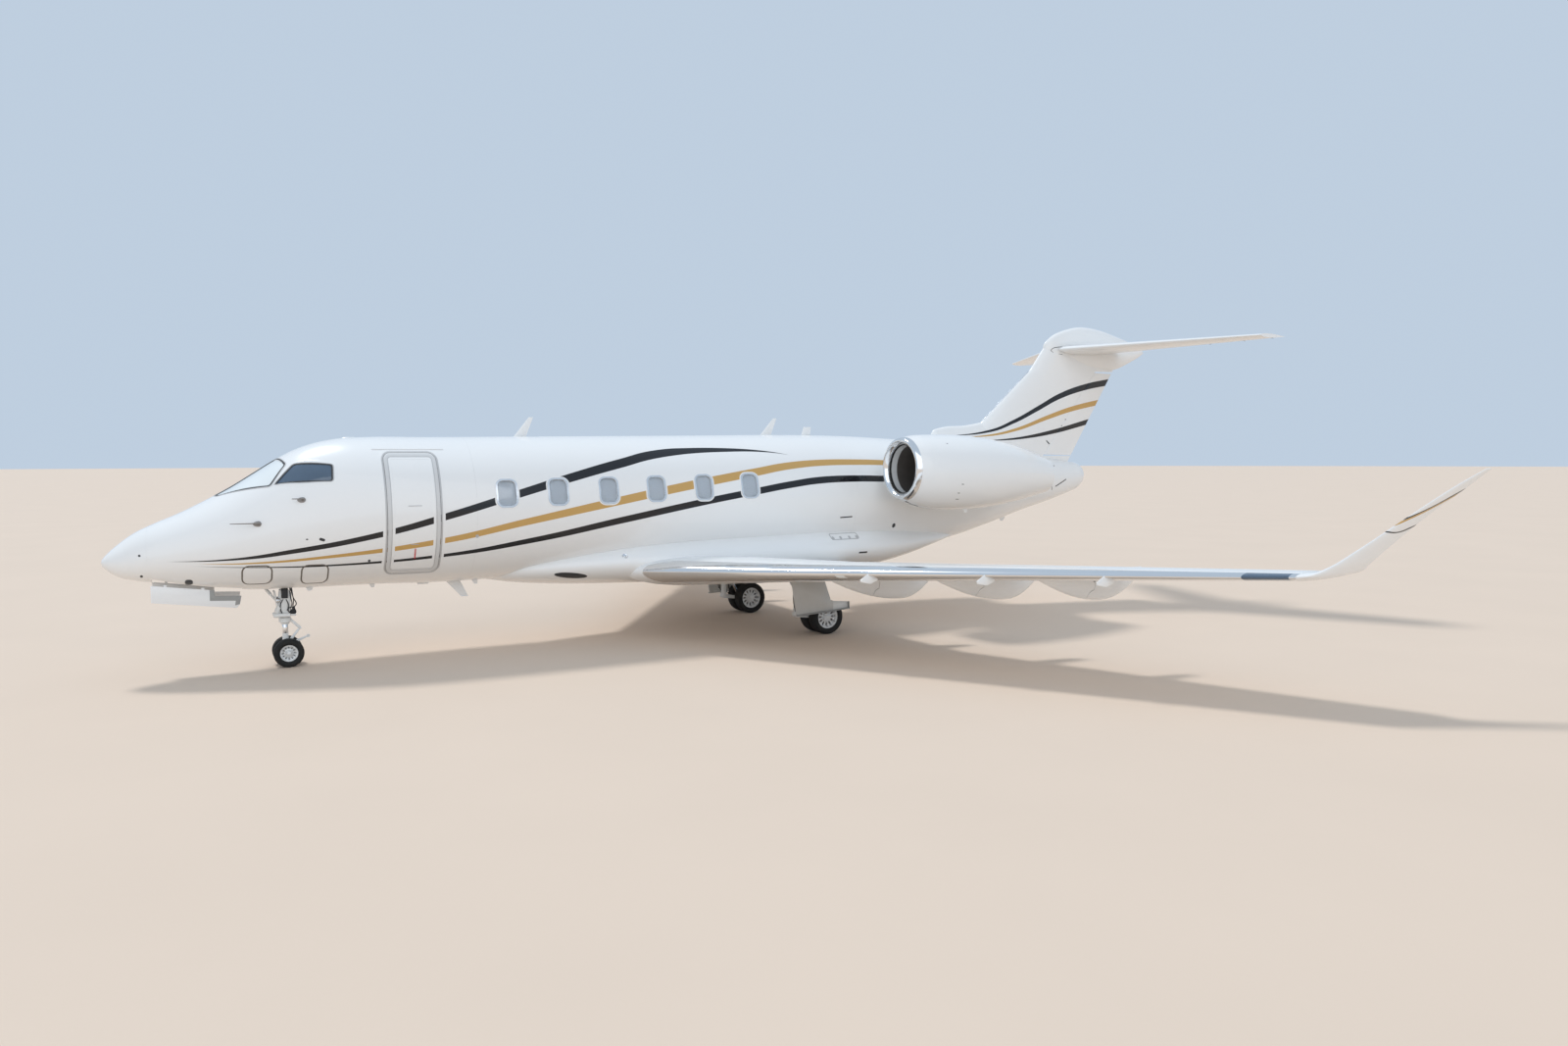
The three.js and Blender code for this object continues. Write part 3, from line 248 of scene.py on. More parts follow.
# Rows of a short table, run into a smooth line with steps between two rows.
def smoothRows(rows, steps):
    p = np.array(rows, dtype=float)
    t = np.concatenate([[0], np.cumsum(np.linalg.norm(np.diff(p[:, :3], axis=0), axis=1))])
    slope = np.gradient(p, t, axis=0)
    made = []
    for i in range(len(p) - 1):
        span = t[i + 1] - t[i]
        for s in np.linspace(0, 1, steps, endpoint=False):
            made.append(
                (2 * s**3 - 3 * s**2 + 1) * p[i] + (s**3 - 2 * s**2 + s) * span * slope[i]
                + (3 * s**2 - 2 * s**3) * p[i + 1] + (s**3 - s**2) * span * slope[i + 1]
            )
    return [list(r) for r in made] + [list(p[-1])]


def mapped(v, a, b, c, d):
    return c + (v - a) * (d - c) / (b - a)


# Points of a flat outline, turned about its middle.
def spun(points, a):
    return [(u * math.cos(a) - v * math.sin(a), u * math.sin(a) + v * math.cos(a)) for u, v in points]


def roundedRectangle(width, height, corner, steps=6):
    points = []
    for k, (u, v) in enumerate([(1, 1), (-1, 1), (-1, -1), (1, -1)]):
        for i in range(steps + 1):
            a = math.pi / 2 * (k + i / steps)
            points.append((u * (width / 2 - corner) + corner * math.cos(a),
                           v * (height / 2 - corner) + corner * math.sin(a)))
    return points


# An outline cut into short steps.
def stepped(outline, run=0.06):
    full = []
    for i, p in enumerate(outline):
        p, q = Vector(p), Vector(outline[(i + 1) % len(outline)])
        parts = max(1, round((q - p).length / run))
        full += [p.lerp(q, k / parts) for k in range(parts)]
    return full


# An outline of straight runs, cut into short steps and rounded at its corners.
def softened(corners, radius, steps=5, run=0.06):
    made = []
    for i, here in enumerate(corners):
        here, last, then = Vector(here), Vector(corners[i - 1]), Vector(corners[(i + 1) % len(corners)])
        a = here + (last - here).normalized() * min(radius, (last - here).length / 2.2)
        b = here + (then - here).normalized() * min(radius, (then - here).length / 2.2)
        for k in range(steps + 1):
            s = k / steps
            made.append(a * (1 - s) ** 2 + here * 2 * s * (1 - s) + b * s**2)
    return stepped(made, run)


# Finishes
def nodeTools(material):
    tree = material.node_tree

    def node(kind, _values=None, **inputs):
        made = tree.nodes.new("ShaderNode" + kind)
        for key, value in (_values or {}).items():
            setattr(made, key, value)
        for key, value in inputs.items():
            socket = made.inputs[int(key[1:]) if key[1:].isdigit() else key.replace("_", " ")]
            if isinstance(value, bpy.types.NodeSocket):
                tree.links.new(value, socket)
            else:
                socket.default_value = value
        return made.outputs[0]

    shader = next(n for n in tree.nodes if n.type == "BSDF_PRINCIPLED")
    place = tree.nodes.new("ShaderNodeTexCoord").outputs["Object"]
    return tree, node, shader, place


def finish(name, colour, slot="white_paint", rough=0.4, metal=0.0, coat=0.0, mottle=0.05, size=6.0,
           grain=400.0, bump=0.02, **extra):
    material = bpy.data.materials.new(name)
    material.use_nodes = True
    tree, node, shader, place = nodeTools(material)
    broad = node("TexNoise", Vector=place, Scale=size, Detail=5.0)
    fine = node("TexNoise", Vector=place, Scale=grain, Detail=3.0)
    low = [c * (1 - mottle) for c in colour] + [1]
    high = [min(1, c * (1 + mottle)) for c in colour] + [1]
    paint = node("Mix", {"data_type": "RGBA"}, _0=broad, _6=low, _7=high)
    tree.links.new(paint.node.outputs[2], shader.inputs["Base Color"])
    spread = node("MapRange", _0=fine, _3=rough * 0.85, _4=min(1, rough * 1.15))
    tree.links.new(spread, shader.inputs["Roughness"])
    relief = node("Bump", Strength=bump, Distance=0.002, Height=fine)
    tree.links.new(relief, shader.inputs["Normal"])
    shader.inputs["Metallic"].default_value = metal
    shader.inputs["Coat Weight"].default_value = coat
    for key, value in extra.items():
        shader.inputs[key.replace("_", " ")].default_value = value
    return material


# Bands that run along X at a height and with a width that follow short tables.
def addBands(material, bands, span, rise, widest=0.1, blur=0.002):
    tree, node, shader, place = nodeTools(material)
    split = tree.nodes.new("ShaderNodeSeparateXYZ")
    tree.links.new(place, split.inputs[0])
    along = node("MapRange", _0=split.outputs[0], _1=span[0], _2=span[1])

    def follow(points, low, high):
        curve = tree.nodes.new("ShaderNodeFloatCurve")
        tree.links.new(along, curve.inputs["Value"])
        line = curve.mapping.curves[0]
        spots = [((x - span[0]) / (span[1] - span[0]), (v - low) / (high - low)) for x, v in points]
        for i, spot in enumerate(spots):
            if i < 2:
                line.points[i].location = spot
            else:
                line.points.new(*spot)
        curve.mapping.update()
        return node("MapRange", _0=curve.outputs[0], _3=low, _4=high)

    for colour, rows in bands:
        centre = follow([(x, z) for x, z, _ in rows], *rise)
        half = follow([(x, w / 2) for x, _, w in rows], 0.0, widest)
        away = node("Math", {"operation": "SUBTRACT"}, _0=split.outputs[2], _1=centre)
        away = node("Math", {"operation": "ABSOLUTE"}, _0=away)
        edge = node("Math", {"operation": "SUBTRACT"}, _0=half, _1=blur)
        amount = node("MapRange", _0=away, _1=edge, _2=half, _3=1.0, _4=0.0)
        before = shader.inputs["Base Color"].links[0].from_socket
        mix = node("Mix", {"data_type": "RGBA"}, _0=amount, _6=before, _7=[*colour, 1])
        tree.links.new(mix.node.outputs[2], shader.inputs["Base Color"])
    return material


charcoal = (0.008, 0.009, 0.012)
gold = (0.56, 0.34, 0.11)
white = (0.83, 0.83, 0.82)
paintFinish = {
    "rough": 0.24, "coat": 0.45, "Coat_Roughness": 0.04, "Specular_IOR_Level": 0.3, "mottle": 0.012,
    "size": 1.5, "grain": 900.0, "bump": 0.01,
}
whitePaint = finish("white_paint", white, **paintFinish)
bodyPaint = addBands(finish("body_paint", white, **paintFinish), [
    (charcoal, [  # x, height, width of the upper band
        (-9.7, 1.722, 0), (-8.9, 1.726, 0.028), (-8.0, 1.83, 0.07), (-6.9, 2.03, 0.09), (-5.9, 2.29, 0.112),
        (-4.8, 2.609, 0.128), (-3.9, 2.862, 0.142), (-3.0, 3.09, 0.149), (-2.25, 3.251, 0.136),
        (-1.7, 3.3, 0.104), (-0.97, 3.318, 0.07), (-0.33, 3.302, 0.034), (0.33, 3.22, 0)]),
    (gold, [
        (-9.3, 1.68, 0), (-8.6, 1.664, 0.024), (-7.5, 1.729, 0.05), (-6.1, 1.887, 0.087),
        (-4.65, 2.17, 0.114), (-3.1, 2.47, 0.14), (-1.76, 2.715, 0.148), (-0.48, 2.925, 0.139),
        (0.23, 3.033, 0.128), (0.94, 3.085, 0.115), (1.8, 3.092, 0.106), (3.5, 3.06, 0.09), (5.2, 3.2, 0.05),
        (6.6, 3.5, 0)]),
    (charcoal, [
        (-9.4, 1.655, 0), (-8.6, 1.602, 0.014), (-7.5, 1.587, 0.029), (-6.0, 1.665, 0.052),
        (-4.62, 1.852, 0.09), (-2.98, 2.16, 0.115), (-1.44, 2.439, 0.119), (-0.47, 2.593, 0.122),
        (0.2, 2.695, 0.124), (0.85, 2.766, 0.126), (1.56, 2.785, 0.121), (2.4, 2.77, 0.115),
        (4.2, 2.76, 0.1), (6.0, 2.95, 0.05), (7.2, 3.2, 0)]),
], (-9.8, 7.4), (1.5, 3.6))
finPaint = addBands(finish("fin_paint", white, **paintFinish), [
    (charcoal, [
        (4.6, 3.64, 0), (5.65, 3.739, 0.053), (6.34, 3.96, 0.085), (7.02, 4.252, 0.112),
        (7.71, 4.552, 0.131), (8.43, 4.758, 0.142), (9.23, 4.903, 0.147)]),
    (gold, [
        (4.95, 3.62, 0), (5.6, 3.645, 0.035), (6.34, 3.772, 0.064), (7.37, 4.076, 0.1), (8.08, 4.266, 0.115),
        (9.0, 4.44, 0.125)]),
    (charcoal, [
        (5.5, 3.54, 0), (6.1, 3.565, 0.035), (6.69, 3.621, 0.06), (7.58, 3.76, 0.097), (8.54, 3.961, 0.118),
        (9.0, 4.06, 0.12)]),
], (4.5, 9.5), (3.4, 5.1))
wingletPaint = addBands(finish("winglet_paint", white, **paintFinish), [
    (gold, [(3.45, 2.265, 0), (3.56, 2.294, 0.028), (3.9, 2.411, 0.028), (4.28, 2.551, 0.028),
            (4.67, 2.712, 0.022), (4.8, 2.76, 0)]),
    (charcoal, [(3.5, 2.295, 0), (3.56, 2.32, 0.02), (3.9, 2.434, 0.02), (4.28, 2.574, 0.022),
                (4.67, 2.742, 0.03), (4.75, 2.775, 0)]),
    (charcoal, [(3.4, 2.265, 0), (3.48, 2.26, 0.016), (3.8, 2.236, 0.02), (4.06, 2.29, 0.03),
                (4.15, 2.32, 0)]),
], (3.0, 5.0), (1.9, 3.1))
silver = finish("polished_metal", (0.8, 0.81, 0.82), "polished_metal", rough=0.14, metal=1.0, mottle=0.02,
                size=3, grain=700, bump=0.015)
frameSilver = finish("brushed_frame", (0.5, 0.5, 0.5), "polished_metal", rough=0.5, metal=0.35, mottle=0.05,
                     size=20, bump=0.03)
palePaint = finish("pale_grey_paint", (0.62, 0.62, 0.615), "polished_metal", rough=0.4, coat=0.3,
                   mottle=0.04, size=12, bump=0.02)
rubber = finish("tyre_rubber", (0.01, 0.0095, 0.009), "tyre_rubber", rough=0.8, mottle=0.25, size=25,
                grain=300, bump=0.12)
gearMetal = finish("gear_metal", (0.62, 0.63, 0.63), "gear_metal", rough=0.38, metal=0.55, mottle=0.1,
                   size=30, bump=0.05)
darkTrim = finish("dark_trim", (0.03, 0.031, 0.034), "dark_trim", rough=0.5, mottle=0.2, size=18, bump=0.05)
linerPaint = finish("cabin_liner", (0.72, 0.68, 0.61), rough=0.7, mottle=0.05, size=10, bump=0.08)
# The inlet duct's dark brown is painted shade: it stands in for the shade deep inside the inlet.
ductPaintedShade = finish("inlet_duct", (0.1, 0.088, 0.08), "engine_metal", rough=0.6, mottle=0.1, size=8,
                   bump=0.04)
engineMetal = finish("engine_metal", (0.26, 0.24, 0.225), "engine_metal", rough=0.42, metal=0.9, mottle=0.15,
                     size=12, bump=0.05)
glass = finish("side_glass", (0.1, 0.16, 0.24), "glass", rough=0.05, coat=1.0, mottle=0.25, size=3,
               Transmission_Weight=0.35, IOR=1.45)
screenGlass = finish("screen_glass", (0.8, 0.84, 0.84), "glass", rough=0.07, coat=1.0, mottle=0.06, size=2.5)
shade = finish("window_shade", (0.86, 0.89, 0.94), rough=0.6, mottle=0.03, size=12, grain=600, bump=0.06)
carpet = finish("carpet", (0.3, 0.26, 0.22), "carpet", rough=0.95, mottle=0.3, size=60, grain=1500, bump=0.6)
leather = finish("leather", (0.55, 0.45, 0.34), "leather", rough=0.55, mottle=0.12, size=14, grain=350,
                 bump=0.25)
print("finishes made")


# Floor and light
light = {
    "floor": (0.71, 0.575, 0.46), "sky": (0.52, 0.62, 0.74), "sunPower": 1.55, "sunWidth": 9,
    "sunTurn": (-28, -12, 0), "fillPower": 0.85, "fillWidth": 70, "fillWay": (0.33, 0.86, -0.4),
}
floorFinish = finish("floor_stage", light["floor"], rough=0.9, mottle=0.03, size=0.4, grain=30, bump=0.05)
clear()
bpy.ops.mesh.primitive_circle_add(vertices=96, radius=400, fill_type="NGON")
floor = named("floor")
floor.data.materials.append(floorFinish)
world = bpy.data.worlds.new("soft_sky")
bpy.context.scene.world = world
world.use_nodes = True
world.node_tree.nodes["Background"].inputs[0].default_value = (*light["sky"], 1)
sun = bpy.data.objects.new("sun", bpy.data.lights.new("sun", "SUN"))
sun.data.energy = light["sunPower"]
sun.data.angle = math.radians(light["sunWidth"])
sun.rotation_euler = [math.radians(a) for a in light["sunTurn"]]
fill = bpy.data.objects.new("fill", bpy.data.lights.new("fill", "SUN"))
fill.data.energy = light["fillPower"]
fill.data.angle = math.radians(light["fillWidth"])
fill.rotation_euler = Vector(light["fillWay"]).to_track_quat("-Z", "Y").to_euler()
for lamp in (sun, fill):
    bpy.context.scene.collection.objects.link(lamp)
bpy.context.scene.view_settings.view_transform = "Standard"


# Body
bodyTable = {
    "sides": 96, "steps": 6, "wall": 0.05, "seamGap": 0.0008,
    "stations": [  # x, top, bottom, half width, height of the widest place
        (-10.462, 1.7, 1.698, 0.001, 1.699), (-10.45, 1.738, 1.66, 0.048, 1.7),
        (-10.38, 1.83, 1.575, 0.15, 1.7), (-10.25, 1.955, 1.485, 0.25, 1.71),
        (-10.05, 2.11, 1.425, 0.36, 1.73), (-9.8, 2.24, 1.378, 0.47, 1.77),
        (-9.5, 2.375, 1.318, 0.575, 1.82), (-9.13, 2.57, 1.259, 0.69, 1.88), (-8.8, 2.76, 1.225, 0.78, 1.95),
        (-8.5, 2.96, 1.199, 0.855, 2.02), (-8.2, 3.16, 1.195, 0.925, 2.09), (-7.9, 3.325, 1.193, 0.99, 2.16),
        (-7.6, 3.43, 1.191, 1.045, 2.22), (-7.3, 3.488, 1.19, 1.09, 2.27), (-6.9, 3.515, 1.188, 1.135, 2.31),
        (-6.0, 3.522, 1.164, 1.179, 2.343), (-4.0, 3.55, 1.19, 1.179, 2.37),
        (-1.5, 3.585, 1.226, 1.179, 2.405), (0.9, 3.618, 1.262, 1.179, 2.441),
        (2.0, 3.605, 1.276, 1.16, 2.455), (3.3, 3.55, 1.32, 1.085, 2.468), (4.5, 3.48, 1.48, 0.97, 2.49),
        (5.55, 3.4, 1.73, 0.8, 2.55), (6.66, 3.27, 2.03, 0.58, 2.66), (7.5, 3.165, 2.23, 0.41, 2.71),
        (8.05, 3.09, 2.385, 0.3, 2.725), (8.3, 3.05, 2.468, 0.235, 2.75), (8.45, 2.965, 2.58, 0.15, 2.765),
        (8.51, 2.88, 2.68, 0.075, 2.78), (8.522, 2.785, 2.775, 0.004, 2.78)],
    "bays": [(-9.85, -8.7, 0.262, 1.76), (-8.75, -7.93, 0.2, 1.43)],  # front, rear, half width, ceiling
    "seams": [("radome", -11, -9.89), ("front_fuselage", -9.89, -5.45), ("cabin_fuselage", -5.45, 1.6),
              ("rear_fuselage", 1.6, 7.62), ("tailcone", 7.62, 9)],
}
bodyRows = smoothRows(bodyTable["stations"], bodyTable["steps"])


def sectionAt(rows, x):
    return lookUp(rows, x, 1, 2, 3, 4)


def ring(row, sides, grow=0.0, shift=0.0):
    x, top, bottom, half, waist = row
    points = []
    for a in turns(sides):
        reach = (top if math.sin(a) > 0 else 2 * waist - bottom) - waist + grow
        points.append((x, shift + (half + grow) * math.cos(a), waist + reach * math.sin(a)))
    return points


# The place on the skin that faces a point at the same x; lift moves it outward.
def skinPoint(x, y, z, lift=0.0, rows=bodyRows):
    top, bottom, half, waist = sectionAt(rows, x)
    reach = top - waist if z > waist else waist - bottom
    a = math.atan2((z - waist) / reach, y / half)
    point = Vector((x, half * math.cos(a), waist + reach * math.sin(a)))
    out = Vector((0, math.cos(a) / half, math.sin(a) / reach)).normalized()
    return point + out * lift


# The place on the skin at a height, on one side.
def sideSkin(x, z, side=-1, lift=0.0, rows=bodyRows):
    top, bottom, half, waist = sectionAt(rows, x)
    reach = top - waist if z > waist else waist - bottom
    high = max(-0.999, min(0.999, (z - waist) / reach))
    return skinPoint(x, side * half * math.sqrt(1 - high * high), z, lift, rows)


# A raised band along an outline that lies on the skin.
def skinBand(name, outline, width, height=0.004, sink=0.01, rows=bodyRows):
    middle = sum(outline, Vector()) / len(outline)
    count = len(outline)
    made = []
    for i, p in enumerate(outline):
        along = (outline[(i + 1) % count] - outline[i - 1]).normalized()
        out = (skinPoint(*p, 1.0, rows) - skinPoint(*p, 0.0, rows)).normalized()
        across = along.cross(out).normalized()
        if across.dot(p - middle) < 0:
            across = -across
        spots = []
        profile = [(0.5, -sink), (0.5, height * 0.4), (0.42, height)]
        for share, lift in profile + [(-s, up) for s, up in reversed(profile)]:
            q = p + across * width * share
            spots.append(skinPoint(*q, lift, rows))
        made.append(spots)
    return loft(name, made, wrap=True)


# A curved plate inside an outline on the skin, from the rim to its middle.
def skinPlate(name, outline, lift, thick=0.006, rings=6, rows=bodyRows):
    middle = sum(outline, Vector()) / len(outline)
    made = []
    for k in range(rings):
        share = 1 - k / rings
        made.append([skinPoint(*(middle.lerp(p, share)), lift, rows) for p in outline])
    made.append([skinPoint(*middle, lift, rows)] * len(outline))
    return apply(loft(name, made, fill=False), "SOLIDIFY", thickness=thick, offset=-1)


cabin = {
    "centres": (-4.977, -4.148, -3.293, -2.446, -1.56, -0.663), "width": 0.3, "height": 0.425,
    "corner": 0.095, "tilt": 13.2, "recess": 0.014, "shadeGap": 0.03, "shadeThick": 0.004,
    "outlines": (0.03, 0.008, -0.004), "cut": 0.3,
    "margin": (0.03, 0.0015), "frame": (0.034, 0.007, 0.03),  # width, height, sink
}
door = {
    "front": -6.76, "rear": -6.0, "sill": 1.41, "head": 3.26, "corner": 0.11, "gap": 0.006, "wall": 0.085,
    "rows": (-7.1, -5.7), "rail": (-6.9, -5.85, 3.316, 0.007),
    "cut": (-0.545, -1.2),  # where the cut starts across the body, and its length
}
cockpit = {
    "windshield": [(-9.01, -0.045, 2.64), (-8.98, -0.19, 2.632), (-8.31, -0.645, 2.775),
                   (-8.085, -0.455, 3.086), (-8.19, -0.045, 3.145)],
    "side": [(-8.245, -0.672, 2.795), (-7.975, -0.545, 3.095), (-7.475, -0.765, 3.085),
             (-7.492, -0.92, 2.842), (-8.16, -0.7, 2.815)],
    "windshieldWay": (-0.6, -0.42, 0.68), "sideWay": (-0.15, -0.8, 0.58),
    "corner": 0.05, "cut": (0.2, 0.5), "cutRun": 0.2,
    "pane": (-0.006, 0.012, 8),  # lift, thickness, rings
    "rim": (0.024, 0.003, 0.03), "bead": (0.014, 0.004), "plate": (0.05, 0.0015),  # width, height, sink
    "beadOut": 0.022, "plateOut": 0.052,
}


def windowOutline(centreX, side=-1, grow=0.0):
    top, _, half, waist = sectionAt(bodyRows, centreX)
    tilt = math.radians(cabin["tilt"])
    middle = Vector((centreX, side * half * math.cos(tilt), waist + (top - waist) * math.sin(tilt)))
    up = Vector((0, -side * math.sin(tilt), math.cos(tilt)))
    shape = roundedRectangle(cabin["width"] + 2 * grow, cabin["height"] + 2 * grow, cabin["corner"] + grow)
    return stepped([middle + Vector((u, 0, 0)) + up * v for u, v in shape])


def doorOutline(grow=0.0):
    high, wide = door["head"] - door["sill"], door["rear"] - door["front"]
    shape = roundedRectangle(wide + 2 * grow, high + 2 * grow, door["corner"] + grow, 8)
    middle = ((door["front"] + door["rear"]) / 2, (door["head"] + door["sill"]) / 2)
    return [(middle[0] + u, 0, middle[1] + v) for u, v in shape]


def doorTool(grow):
    start, run = door["cut"]
    return prism("tool", [(x, start, z) for x, _, z in doorOutline(grow)], (0, run, 0))


def windowTool(side):
    tilt = math.radians(cabin["tilt"])
    way = Vector((0, side * math.cos(tilt), math.sin(tilt)))
    parts = []
    for x in cabin["centres"]:
        outline = [p - way * cabin["cut"] for p in windowOutline(x, side)]
        parts.append(prism("tool", outline, way * (2 * cabin["cut"])))
    return joined(parts, "windowTool")


def glazingTool(side):
    made = []
    back, run = cockpit["cut"]
    for key in ("windshield", "side"):
        corners = [(x, -side * y, z) for x, y, z in cockpit[key]]
        way = Vector(cockpit[key + "Way"]).normalized()
        way.y *= -side
        outline = softened(corners, cockpit["corner"], run=cockpit["cutRun"])
        made.append(prism("tool", [Vector(p) - way * back for p in outline], way * run))
    return made


def bayTool(front, rear, half, ceiling, floorZ=0.9):
    outline = [(front, -half, floorZ), (rear, -half, floorZ), (rear, half, floorZ), (front, half, floorZ)]
    return prism("tool", outline, (0, 0, ceiling - floorZ))


# A wall behind a skin, lined on its inner side.
def thicken(skin, wall):
    skin.data.materials.append(bodyPaint)
    skin.data.materials.append(linerPaint)
    return apply(skin, "SOLIDIFY", thickness=wall, offset=-1, material_offset=1)


def makeBody():
    skin = loft("skin", [ring(row, bodyTable["sides"]) for row in bodyRows], fill=False)
    for name, x0, x1 in bodyTable["seams"]:
        part = copyOf(skin, "shown_" + name)
        for x, way in ((x0 + bodyTable["seamGap"], 1), (x1, -1)):
            edit(part)
            bpy.ops.mesh.bisect(plane_co=(x, 0, 0), plane_no=(way, 0, 0), clear_inner=True)
            clear()
        thicken(part, bodyTable["wall"])
        if name == "front_fuselage":
            carve(part, doorTool(door["gap"]), *glazingTool(-1), *glazingTool(1))
            carve(part, *[bayTool(*bay) for bay in bodyTable["bays"]])
        if name == "cabin_fuselage":
            carve(part, windowTool(-1), windowTool(1))
        fit(part, "airframe", None, name, slot="white_paint")
    bpy.data.objects.remove(skin)


makeBody()
print("body made")


# Entry door: a curved leaf with bands, treads and stringers, hinged at its foot
stair = {
    "angles": (-43, -21, 1, 22, 42), "width": 0.56, "depth": (-0.05, 0.215), "thick": 0.03, "open": 129,
    "across": 1.082, "rise": 1.085, "stringer": (1.09, 0.98), "reach": 52, "stringerWall": 0.012,
}
doorBands = [  # name, how far outside the door's edge, width, height, body, finish
    ("door_surround", 0.046, 0.044, 0.0012, "airframe", whitePaint),
    ("door_frame", 0.019, 0.024, 0.0025, "airframe", frameSilver),
    ("door_edge", -0.03, 0.058, 0.0016, "entry_door", palePaint),
    ("door_line", -0.058, 0.012, 0.0024, "entry_door", frameSilver),
    ("door_margin", -0.084, 0.038, 0.0012, "entry_door", whitePaint),
]


def makeTreads(middle, waist):
    made = []
    for degrees in stair["angles"]:
        a = math.radians(degrees)
        half, (front, back), t = stair["width"] / 2, stair["depth"], stair["thick"] / 2
        outline = [(-half, front, -t), (half, front, -t), (half, back, -t), (-half, back, -t)]
        step = apply(prism("tread", outline, (0, 0, 2 * t)), "BEVEL", width=0.008, segments=2)
        turn = Matrix.Rotation(math.radians(180 - stair["open"]), 4, "X")
        shift = Matrix.Translation((middle, -stair["across"] * math.cos(a),
                                    waist + stair["rise"] * math.sin(a)))
        step.data.transform(shift @ turn)
        made.append(step)
    fitJoined("door_treads", made, carpet, body="entry_door")


# The stringers carry the treads.
def makeStringers(middle, waist):
    arc = [math.radians(a) for a in range(-stair["reach"], stair["reach"], 4)]
    for way, name in ((-1, "front"), (1, "rear")):
        x = middle + way * (stair["width"] / 2 + stair["stringerWall"])
        outer, inner = [[(x, -r * math.cos(a), waist + r * math.sin(a)) for a in arc]
                        for r in stair["stringer"]]
        rail = prism("stringer_" + name, outer + inner[::-1], (stair["stringerWall"] * way, 0, 0))
        fit(rail, "entry_door", linerPaint)


def makeDoor():
    first, last = door["rows"]
    rows = [ring(row, bodyTable["sides"]) for row in bodyRows if first < row[0] < last]
    leaf = thicken(loft("shown_door", rows, fill=False), door["wall"])
    carve(leaf, doorTool(0.0), operation="INTERSECT")
    fit(leaf, "entry_door", None, "entry_door", slot="white_paint")
    middle = (door["front"] + door["rear"]) / 2
    waist = sectionAt(bodyRows, middle)[3]
    makeTreads(middle, waist)
    makeStringers(middle, waist)
    for name, grow, width, height, body, material in doorBands:
        outline = [sideSkin(p.x, p.z) for p in stepped(doorOutline(grow))]
        fit(skinBand(name, outline, width, height), body, material)
    front, rear, z, radius = door["rail"]
    ends = [sideSkin(x, z) for x in np.linspace(front, rear, 14)]
    rail = hose([skinPoint(*p, 0.004) for p in ends], radius, 8)
    fit(renamed(rail, "door_drip_rail"), "airframe", whitePaint)


makeDoor()
print("door made")


# Cabin windows: a raised frame, a recessed pane and a drawn shade on each side
def makeWindows():
    deep = cabin["recess"]
    for side, name in ((-1, "left"), (1, "right")):
        frames, margins, panes, shades = [], [], [], []
        for x in cabin["centres"]:
            wide, near, inner = [[skinPoint(*p) for p in windowOutline(x, side, grow)]
                                 for grow in cabin["outlines"]]
            margins.append(skinBand("margin", wide, *cabin["margin"]))
            frames.append(skinBand("frame", near, *cabin["frame"]))
            panes.append(skinPlate("pane", inner, -deep))
            shades.append(skinPlate("shade", inner, -deep - cabin["shadeGap"], cabin["shadeThick"]))
        fitJoined("window_margins_" + name, margins, whitePaint)
        fitJoined("window_frames_" + name, frames, silver)
        fitJoined("window_panes_" + name, panes, clearGlass, "cabin_windows_" + name)
        fitJoined("window_shades_" + name, shades, shade)


clearGlass = finish("clear_glass", (0.9, 0.93, 0.95), "glass", rough=0.02, coat=1.0, mottle=0.0,
                    Transmission_Weight=0.96, IOR=1.45)
makeWindows()
print("windows made")


# Cockpit glazing
def makeGlazing():
    rims, beads, plates = [], [], []
    for key, name, material in (("windshield", "front_panes", screenGlass), ("side", "side_panes", glass)):
        panes = []
        for side in (-1, 1):
            corners = [(x, -side * y, z) for x, y, z in cockpit[key]]
            outline = [skinPoint(*p) for p in softened(corners, cockpit["corner"])]
            middle = sum(outline, Vector()) / len(outline)
            larger = lambda more: [skinPoint(*(middle + (p - middle) * (1 + more / (p - middle).length)))
                                   for p in outline]
            panes.append(skinPlate("pane", outline, *cockpit["pane"]))
            rims.append(skinBand("rim", outline, *cockpit["rim"]))
            beads.append(skinBand("bead", larger(cockpit["beadOut"]), *cockpit["bead"]))
            if key == "side":
                plates.append(skinBand("plate", larger(cockpit["plateOut"]), *cockpit["plate"]))
        fit(joined(panes, name), "airframe", material, *(["cockpit_glazing"] if key == "side" else []))
    fitJoined("cockpit_rims", rims, darkTrim)
    fitJoined("cockpit_beads", beads, frameSilver)
    fitJoined("side_pane_plates", plates, whitePaint)


makeGlazing()
print("glazing made")


# Belly fairing
fairing = {
    "sides": 72, "steps": 5, "well": (0.604, 0.62, 0.35, 1.195),
    "stations": [
        (-5.08, 1.38, 1.16, 0.2, 1.27), (-4.65, 1.52, 1.09, 0.62, 1.33), (-4.0, 1.66, 1.03, 0.88, 1.37),
        (-3.1, 1.79, 0.985, 1.1, 1.4), (-2.1, 1.87, 0.958, 1.23, 1.425), (-0.4, 1.92, 0.95, 1.285, 1.44),
        (1.1, 1.965, 0.958, 1.26, 1.45), (2.2, 1.95, 1.0, 1.16, 1.465), (3.1, 1.9, 1.16, 0.98, 1.5),
        (3.9, 1.8, 1.38, 0.72, 1.54), (4.56, 1.68, 1.53, 0.36, 1.6)],
}
fairingRows = smoothRows(fairing["stations"], fairing["steps"])


def circle(x, y, z, radius, axis="z", sides=32):
    spots = []
    for a in turns(sides):
        u, v = radius * math.cos(a), radius * math.sin(a)
        spots.append({"x": (x, y + u, z + v), "y": (x + u, y, z + v), "z": (x + u, y + v, z)}[axis])
    return spots


